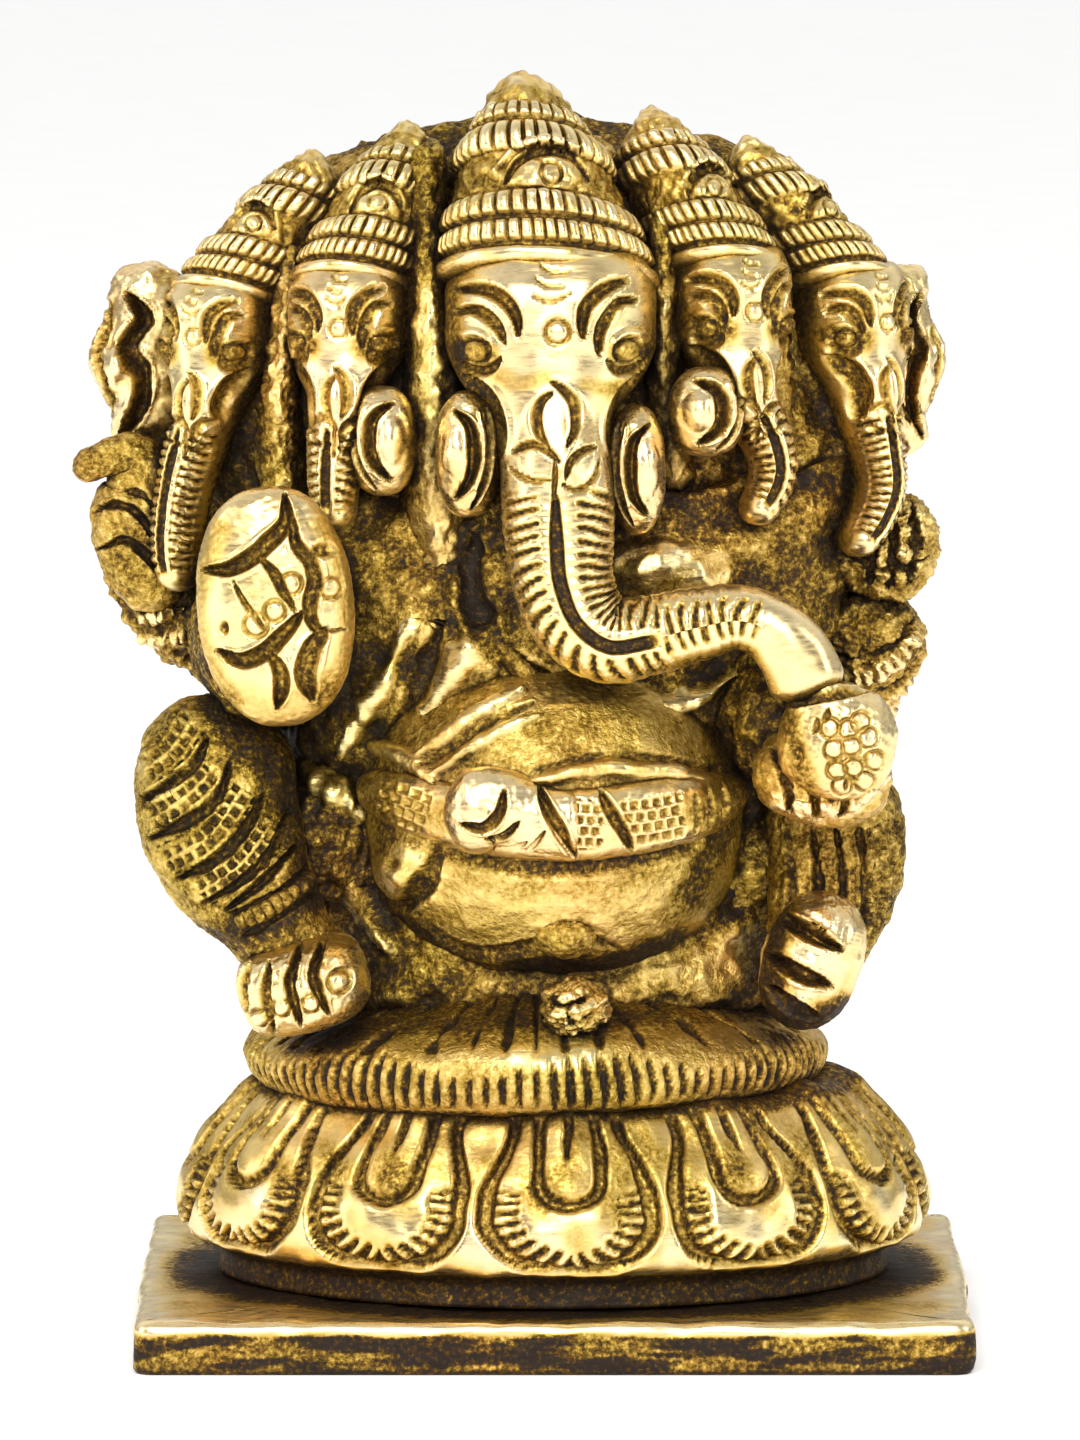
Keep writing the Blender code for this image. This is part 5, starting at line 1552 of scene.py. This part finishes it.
@dataclass
class Legs(Assembly):
    """Thighs, shins and feet, from the figurine's right to its left."""

    lumps: tuple[Lump, ...] = (
        Lump("right_thigh", "right_thigh_cloth", stain=0.62, rough=(0.22, 2.6), seed=410, caps=(4.0, 4.0),
             # The ridge is rubbed bright, with a painted highlight along it.
             marks=(Mark(Tool.RIDGE, ((-6.4, 9.4), (-1.0, 4.6), (3.4, 1.4)), 2.2, 1.0),
                    Mark(Tool.SHINE, ((-6.4, 9.4), (-1.0, 4.6), (3.4, 1.4)), 1.8, 0.36)),
             stations=((7.0, 1.6, -5.4, 5.0, 5.0), (0.0, 0.2, -0.4, 5.6, 5.6), (-4.6, -1.3, 2.4, 5.2, 5.2))),
        Lump("right_leg", "right_shin_and_knee", stain=0.4, rough=(0.1, 2.4), grid=(230, 200), seed=420,
             marks=KNEE_MARKS, caps=(5.0, 1.5), upright=True,
             stations=((-1.0, 1.4, 9.3, 5.0, 5.0), (-1.3, 1.2, 4.6, 5.6, 5.4), (-1.0, 0.2, 0.6, 5.8, 5.7),
                       (0.6, -1.2, -2.9, 5.1, 5.2), (2.7, -2.4, -6.0, 3.9, 4.4), (4.2, -2.8, -8.4, 3.4, 3.8),
                       (4.9, -3.0, -9.8, 3.5, 3.7))),
        Lump("right_foot", "right_foot_toes", stain=0.1, rough=(0.05, 1.8), grid=(140, 150), seed=430,
             finish=Finish.POLISHED, marks=FOOT_MARKS, half=(4.7, 5.2, 3.3), blunt=0.66, lean=-14,
             shift=(0.1, 0.1, 0.1)),
        Lump("left_thigh", "left_thigh_cloth", stain=0.55, rough=(0.2, 2.8), seed=440, caps=(4.0, 4.0),
             stations=((-6.0, 1.6, -3.6, 4.9, 4.9), (0.0, 0.1, -0.2, 5.0, 5.0), (4.4, -1.5, 1.8, 4.8, 4.8))),
        Lump("left_leg", "left_shin_and_knee", stain=0.52, rough=(0.12, 2.6), grid=(150, 160), seed=450,
             caps=(4.0, 2.0), upright=True,
             stations=((-0.4, 1.4, 7.4, 4.6, 4.6), (0.1, 0.8, 3.4, 5.0, 4.8), (0.2, -0.4, -0.4, 4.8, 4.6),
                       (-0.8, -1.8, -4.2, 4.0, 3.8), (-1.6, -2.4, -6.6, 3.4, 3.4)),
             marks=tuple(Mark(Tool.GOUGE, ((x, 3.4), (x + 0.5, -0.6), (x + 0.1, -4.4)), 0.8, 0.6)
                         for x in (-3.4, -1.6, 0.2, 1.9))
             + (Mark(Tool.BRICKS, ((3.6, 3.6), (4.1, -0.6), (3.4, -4.4)), 2.4, 0.26, pitch=0.8),)),
        Lump("left_foot", "left_foot_toes", stain=0.12, rough=(0.08, 2.0), grid=(130, 140), seed=460,
             finish=Finish.POLISHED, blunt=0.85, half=(3.5, 4.4, 5.0), lean=18, shift=(1.0, -0.2, -0.1),
             marks=gouges(1.3, 1.2, ((-1.6, 3.4), (0.6, 2.4), (2.9, 1.2)),
                          ((-2.4, 0.8), (-0.2, -0.4), (2.2, -1.4)), ((-2.2, -1.6), (-0.4, -2.9), (1.4, -3.8)))
             + (Mark(Tool.DIRT, ((-1.4, 4.6), (-2.0, 1.6), (-2.2, -1.6), (-0.8, -5.0)), 4.4, 0.8),
                Mark(Tool.DIRT, ((-1.0, -4.4), (0.8, -4.2), (3.0, -3.6)), 4.2, 0.8),
                Mark(Tool.SHINE, ((0.0, 4.3), (1.6, 3.8), (3.2, 2.6)), 1.6, 0.2),
                Mark(Tool.SHINE, ((-0.8, 1.3), (1.2, 0.6), (3.2, -0.2)), 1.3, 0.2))))


BRACELET = tuple(Mark(Tool.BEADS, ((-5.0, z - 1.2), (0.0, z), (5.0, z - 0.4)), 0.9, 0.45, pitch=0.75)
                 for z in (-1.6, 0.2))


@dataclass
class Arms(Assembly):
    """The four arms, their hands and what they hold."""

    lumps: tuple[Lump, ...] = (
        Lump("raised_upper_arm", "raised_upper_arm_bare", stain=0.6, rough=(0.26, 3.0), seed=510, caps=(4, 4),
             # The ridge is rubbed bright, with a painted highlight along it.
             marks=(Mark(Tool.RIDGE, ((-4.6, -5.4), (0.0, -6.4), (4.6, -8.4)), 1.4, 0.8),
                    Mark(Tool.SHINE, ((-4.6, -5.4), (0.0, -6.4), (4.6, -8.4)), 1.2, 0.3)),
             stations=((6.6, 0.8, 3.6, 6.2, 5.6), (0.6, 0.0, 0.0, 6.6, 6.0), (-1.8, -1.2, -3.4, 6.2, 5.8),
                       (-1.0, -1.6, -6.8, 5.6, 5.4))),
        Lump("raised_forearm", "raised_forearm_bare", stain=0.66, rough=(0.2, 2.8), seed=520, caps=(4, 3),
             facing=(0.0, 0.0, 1.0),
             stations=((-0.6, 4.2, -1.8, 5.0, 5.6), (-0.2, 0.0, 0.2, 5.3, 6.2), (0.5, -5.0, 2.6, 4.9, 7.0))),
        Lump("raised_hand", "raised_open_palm", stain=0.12, rough=(0.05, 3.4), grid=(230, 210), seed=530,
             finish=Finish.POLISHED, marks=PALM_MARKS, half=(5.5, 2.9, 8.5), blunt=0.9, lean=-5),
        Lump("offering_arm", "offering_arm_bare", stain=0.62, rough=(0.25, 2.6), seed=540, caps=(4, 3),
             facing=(0.0, 0.0, 1.0),
             stations=((-2.0, 4.4, 1.6, 5.4, 5.6), (0.6, -2.0, -0.6, 4.8, 5.0), (3.0, -7.0, -2.4, 4.2, 4.4))),
        Lump("offering_hand", "offering_hand_fingers", stain=0.44, rough=(0.1, 1.8), grid=(120, 140),
             seed=550, finish=Finish.POLISHED, half=(4.9, 3.7, 3.4), blunt=0.9, lean=8,
             marks=gouges(0.8, 0.7, ((-3.6, 2.2), (-2.6, 0.0), (-2.2, -2.0)),
                          ((-0.9, 0.8), (-0.6, -0.8), (-0.5, -2.6)), ((1.4, 0.8), (1.6, -0.8), (1.2, -2.4)))
             + (Mark(Tool.BEADS, ((-3.8, -1.2), (-0.6, -1.9), (2.6, -1.0), (4.0, 0.2)), 1.3, 0.5, pitch=1.6),
                Mark(Tool.SHINE, ((-3.4, -1.8), (-0.6, -2.6), (2.6, -1.6), (4.0, -0.4)), 1.4, 0.32))),
        Lump("sweet_bowl", "bowl_of_sweets", stain=0.14, rough=(0.05, 2.0), grid=(160, 160), seed=560,
             finish=Finish.POLISHED, marks=BOWL_MARKS, half=(4.2, 3.5, 4.3), blunt=0.88, lean=14),
        Lump("rear_arm_left", "rear_arm_left_bare", stain=0.6, rough=(0.3, 2.4), seed=570, caps=(3, 3),
             stations=((5.6, 1.6, -4.4, 4.0, 4.0), (1.6, 0.8, -2.0, 4.4, 4.0), (-2.6, -0.2, 1.0, 4.0, 3.6),
                       (-5.2, -1.4, 5.0, 2.9, 2.9)),
             marks=BRACELET),
        Lump("conch", "curled_conch", stain=0.42, rough=(0.1, 2.0), grid=(140, 100), seed=580,
             caps=(1.6, 1.2),
             stations=((2.6, 0.4, -8.0, 2.2, 2.4), (0.8, 0.2, -4.6, 3.1, 2.6), (0.1, 0.0, -1.6, 3.2, 2.6),
                       (0.6, -0.2, 1.0, 2.7, 2.2), (0.0, -0.4, 2.8, 1.8, 1.6), (-2.0, -0.7, 2.7, 1.3, 1.3),
                       (-4.2, -0.8, 1.7, 1.15, 1.2)),
             marks=gouges(0.8, 0.7, ((-2.8, -1.0), (-1.0, -0.4), (0.8, -1.4), (1.6, -3.0)),
                          ((-2.6, -3.8), (-0.4, -3.0), (1.0, -4.0), (2.6, -6.2)))
             + gouges(0.5, 0.4, ((-0.6, 0.6), (0.6, 0.4), (1.6, -0.6)))),
        Lump("rear_arm_right", "rear_arm_right_bracelets", stain=0.5, rough=(0.2, 2.2), seed=590, caps=(3, 3),
             grid=(150, 120),
             stations=((-3.6, 1.8, -3.6, 4.2, 3.9), (0.2, 0.4, -1.6, 4.4, 4.2), (3.0, -1.2, 1.6, 4.0, 3.8),
                       (4.2, -2.0, 5.0, 3.3, 3.2)),
             marks=tuple(Mark(Tool.BEADS, ((-2.0, z + 1.0), (1.4, z - 0.6), (4.6, z + 0.6), (6.6, z + 2.6)),
                              1.2, 0.5) for z in (-3.4, -0.2))
             + gouges(0.6, 0.5, ((-2.2, -1.0), (1.4, -2.6), (4.8, -1.4), (6.6, 0.4)),
                      ((-2.2, 2.2), (1.4, 0.6), (4.8, 1.8), (6.6, 3.8)))),
        Lump("lotus_bud", "lotus_bud_petals", stain=0.35, rough=(0.2, 1.8), grid=(120, 120), seed=600,
             half=(3.9, 3.4, 4.0), lean=18, blunt=0.9,
             marks=gouges(0.9, 0.8, ((-2.6, 2.6), (-1.0, 0.4), (-1.2, -2.6)),
                          ((-0.2, 3.6), (0.6, 0.8), (0.4, -2.6)), ((1.8, 3.2), (2.2, 0.6), (1.6, -2.4)))
             + gouges(0.6, 0.5, ((-3.0, -0.4), (0.2, -1.4), (3.2, -0.6)))))


@dataclass
class Fan(Assembly):
    """The mass behind the heads that joins them, with four folds on it."""

    lumps: tuple[Lump, ...] = (Lump(
        "head_fan", "mass_behind_heads", stain=0.58, rough=(0.3, 3.0), grid=(150, 240), seed=700,
        upright=True, caps=(0, 3.6),
        stations=((1.1, -1.5, -17.0, 19.0, 8.0), (0.9, -1.5, -13.0, 24.0, 9.0), (0.3, -1.2, -8.0, 24.3, 9.0),
                  (0.0, -1.0, -2.0, 23.4, 8.4), (-0.3, -0.8, 3.0, 22.8, 8.0), (-0.5, -0.4, 7.6, 20.8, 7.4),
                  (-0.6, 0.2, 11.2, 16.8, 6.6), (-0.7, 0.6, 14.0, 11.8, 5.6), (-0.7, 0.8, 15.2, 8.0, 4.6))),
        Lump("head_fan", "fold_left_of_centre", stain=0.56, rough=(0.16, 1.8), grid=(140, 64), seed=720,
             caps=(2.0, 2.0), marks=(Mark(Tool.SHINE, ((-7.2, 3.0), (-6.8, -7.0), (-6.4, -16.0)), 6.0, 0.5),),
             stations=((-7.8, -6.8, 14.0, 1.5, 3.2), (-7.8, -8.2, 7.0, 1.4, 3.4), (-7.5, -9.4, 0.0, 1.8, 3.8),
                       (-7.2, -9.8, -6.0, 2.5, 4.0), (-7.0, -9.6, -12.0, 2.5, 3.7),
                       (-6.6, -8.8, -17.0, 1.8, 3.0))),
        Lump("head_fan", "fold_right_of_centre", stain=0.5, rough=(0.16, 1.8), grid=(120, 64), seed=730,
             caps=(2.0, 2.0), marks=(Mark(Tool.SHINE, ((9.0, 3.0), (9.1, -3.0), (9.6, -10.0)), 3.4, 0.3),),
             stations=((8.6, -6.6, 13.0, 1.2, 3.0), (8.9, -8.4, 5.0, 1.2, 3.2), (9.0, -8.8, -3.0, 1.4, 3.4),
                       (9.8, -8.2, -11.0, 1.8, 3.4))),
        Lump("head_fan", "fold_left_of_inner", stain=0.5, rough=(0.2, 1.6), grid=(110, 64), seed=740,
             caps=(2.0, 2.0),
             marks=(Mark(Tool.SHINE, ((-17.8, 4.0), (-18.2, -4.0), (-17.6, -14.0)), 3.0, 0.26),),
             stations=((-17.0, -5.4, 7.0, 1.1, 2.8), (-17.9, -6.4, 0.0, 1.2, 3.2),
                       (-18.2, -6.6, -8.0, 1.7, 3.4), (-17.2, -6.2, -15.0, 1.8, 3.0))),
        Lump("head_fan", "fold_right_of_inner", stain=0.5, rough=(0.2, 1.6), grid=(110, 64), seed=750,
             caps=(2.0, 2.0),
             marks=(Mark(Tool.SHINE, ((16.6, 4.0), (16.8, -2.0), (16.6, -12.0)), 3.0, 0.26),),
             stations=((16.2, -5.2, 7.0, 1.1, 2.8), (16.7, -6.2, 0.0, 1.2, 3.2), (16.6, -6.4, -7.0, 1.6, 3.4),
                       (16.2, -6.0, -13.0, 1.7, 3.0))))


# ---------------------------------------------------------------- floor, lights and camera

@dataclass(frozen=True)
class Softbox:
    """One large soft studio light."""

    name: str
    place: Point  # metres
    aim: Point
    size: Point
    power: float  # watts
    colour: Point = (1.0, 1.0, 1.0)

    def light(self) -> None:
        """Adds the light and points it."""
        data = bpy.data.lights.new(self.name, "AREA")
        data.shape, data.size, data.size_y = "RECTANGLE", *self.size
        data.energy, data.color = self.power, self.colour
        lamp = bpy.data.objects.new(self.name, data)
        lamp.location = self.place
        beam = Vector(self.aim) - Vector(self.place)
        lamp.rotation_euler = beam.to_track_quat("-Z", "Y").to_euler()
        bpy.context.scene.collection.objects.link(lamp)


@dataclass
class Studio:
    """A pale floor in a white room, soft lights, and the camera in front."""

    floor_half: float = 2.0
    floor_posts: int = 5  # points along each side of the floor
    floor_gap: float = 0.00002  # how far under the figurine it lies
    camera_place: Point = (-0.00094, -0.7878, 0.1477)
    camera_tilt: float = 82.46  # degrees from straight down
    lens: float = 277.8
    sensor: float = 36.0
    backdrop: float = 1.12  # how bright the room is to the eye
    boxes: tuple[Softbox, ...] = (
        Softbox("front_top", (-0.10, -0.50, 0.42), (0, 0, 0.05), (0.42, 0.30), 2.2, (1.0, 0.98, 0.94)),
        Softbox("over_camera", (0.06, -0.95, 0.34), (0, 0, 0.05), (0.50, 0.30), 2.4, (1.0, 0.98, 0.95)),
        Softbox("left_wall", (-0.42, -0.16, 0.18), (0, 0, 0.05), (0.22, 0.34), 0.6, (1.0, 0.93, 0.86)),
        Softbox("right_wall", (0.42, -0.20, 0.20), (0, 0, 0.05), (0.16, 0.30), 0.5),
    )

    def build(self) -> None:
        """Builds all of it."""
        self.floor()
        self.room()
        for box in self.boxes:
            box.light()
        self.camera()

    def floor(self) -> None:
        """A large pale sheet under the figurine, with a faint mottle."""
        side = np.linspace(-self.floor_half, self.floor_half, self.floor_posts)
        x, y = np.meshgrid(side, side)
        mesh = bpy.data.meshes.new("studio_floor")
        points = np.stack([x, y, np.full_like(x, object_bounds()[0][2] - self.floor_gap)], axis=-1)
        index = np.arange(x.size).reshape(x.shape)
        quads = np.stack([index[:-1, :-1], index[:-1, 1:], index[1:, 1:], index[1:, :-1]], axis=-1)
        mesh.from_pydata(points.reshape(-1, 3).tolist(), [], quads.reshape(-1, 4).tolist())
        floor = bpy.data.objects.new("studio_floor", mesh)
        bpy.context.scene.collection.objects.link(floor)
        material = bpy.data.materials.new("pale_paper")
        material.use_nodes = True
        graph = Graph(material.node_tree)
        where = graph.add("TexCoord").outputs["Object"]
        mottle = graph.add("TexNoise", Vector=where, Scale=90.0, Detail=3.0)
        ramp = graph.add("ValToRGB", Fac=mottle.outputs["Fac"])
        ramp.color_ramp.elements[0].color = (0.93, 0.93, 0.925, 1.0)
        ramp.color_ramp.elements[1].color = (0.97, 0.97, 0.965, 1.0)
        shader = graph.add("BsdfPrincipled", Base_Color=ramp.outputs["Color"], Roughness=0.9)
        graph.add("OutputMaterial", Surface=shader.outputs["BSDF"])
        mesh.materials.append(material)
        floor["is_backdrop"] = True

    def room(self) -> None:
        """White all round to the eye, and to the brass a bright roof over darker walls."""
        world = bpy.data.worlds.new("studio_room")
        bpy.context.scene.world = world
        world.use_nodes = True
        graph = Graph(world.node_tree)
        way = graph.add("TexCoord").outputs["Generated"]
        parts = graph.add("SeparateXYZ", Vector=way)
        roof = graph.spread(parts.outputs["Z"], -0.25, 0.8, 0.10, 1.0)
        behind = graph.spread(parts.outputs["Y"], -0.7, 0.6, 0.28, 1.0)
        glow = graph.math("MULTIPLY", roof, behind)
        rays = graph.add("LightPath").outputs
        seen = graph.math("MAXIMUM", rays["Is Camera Ray"], rays["Is Diffuse Ray"])
        shade = graph.add("Mix", {"data_type": "RGBA"}, i0=seen, i6=glow,
                          i7=(self.backdrop, self.backdrop, self.backdrop, 1.0)).outputs[2]
        ground = graph.add("Background", Color=shade, Strength=1.0)
        graph.add("OutputWorld", Surface=ground.outputs["Background"])

    def camera(self) -> None:
        """The camera, level with the crown and tipped down a little."""
        data = bpy.data.cameras.new("front_camera")
        data.lens, data.sensor_width = self.lens, self.sensor
        data.clip_start, data.clip_end = 0.05, 20.0
        camera = bpy.data.objects.new("front_camera", data)
        camera.location = self.camera_place
        camera.rotation_euler = (math.radians(self.camera_tilt), 0.0, 0.0)
        bpy.context.scene.collection.objects.link(camera)
        bpy.context.scene.camera = camera


def main() -> None:
    """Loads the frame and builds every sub-assembly round it."""
    logging.basicConfig(level=logging.INFO, format="%(name)s %(message)s")
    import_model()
    bpy.context.scene.view_settings.view_transform = "Standard"
    Studio().build()
    for group in (Stand(), Trunk(), Legs(), Arms(), Fan(), *HEADS):
        group.build()


if __name__ == "__main__":
    main()
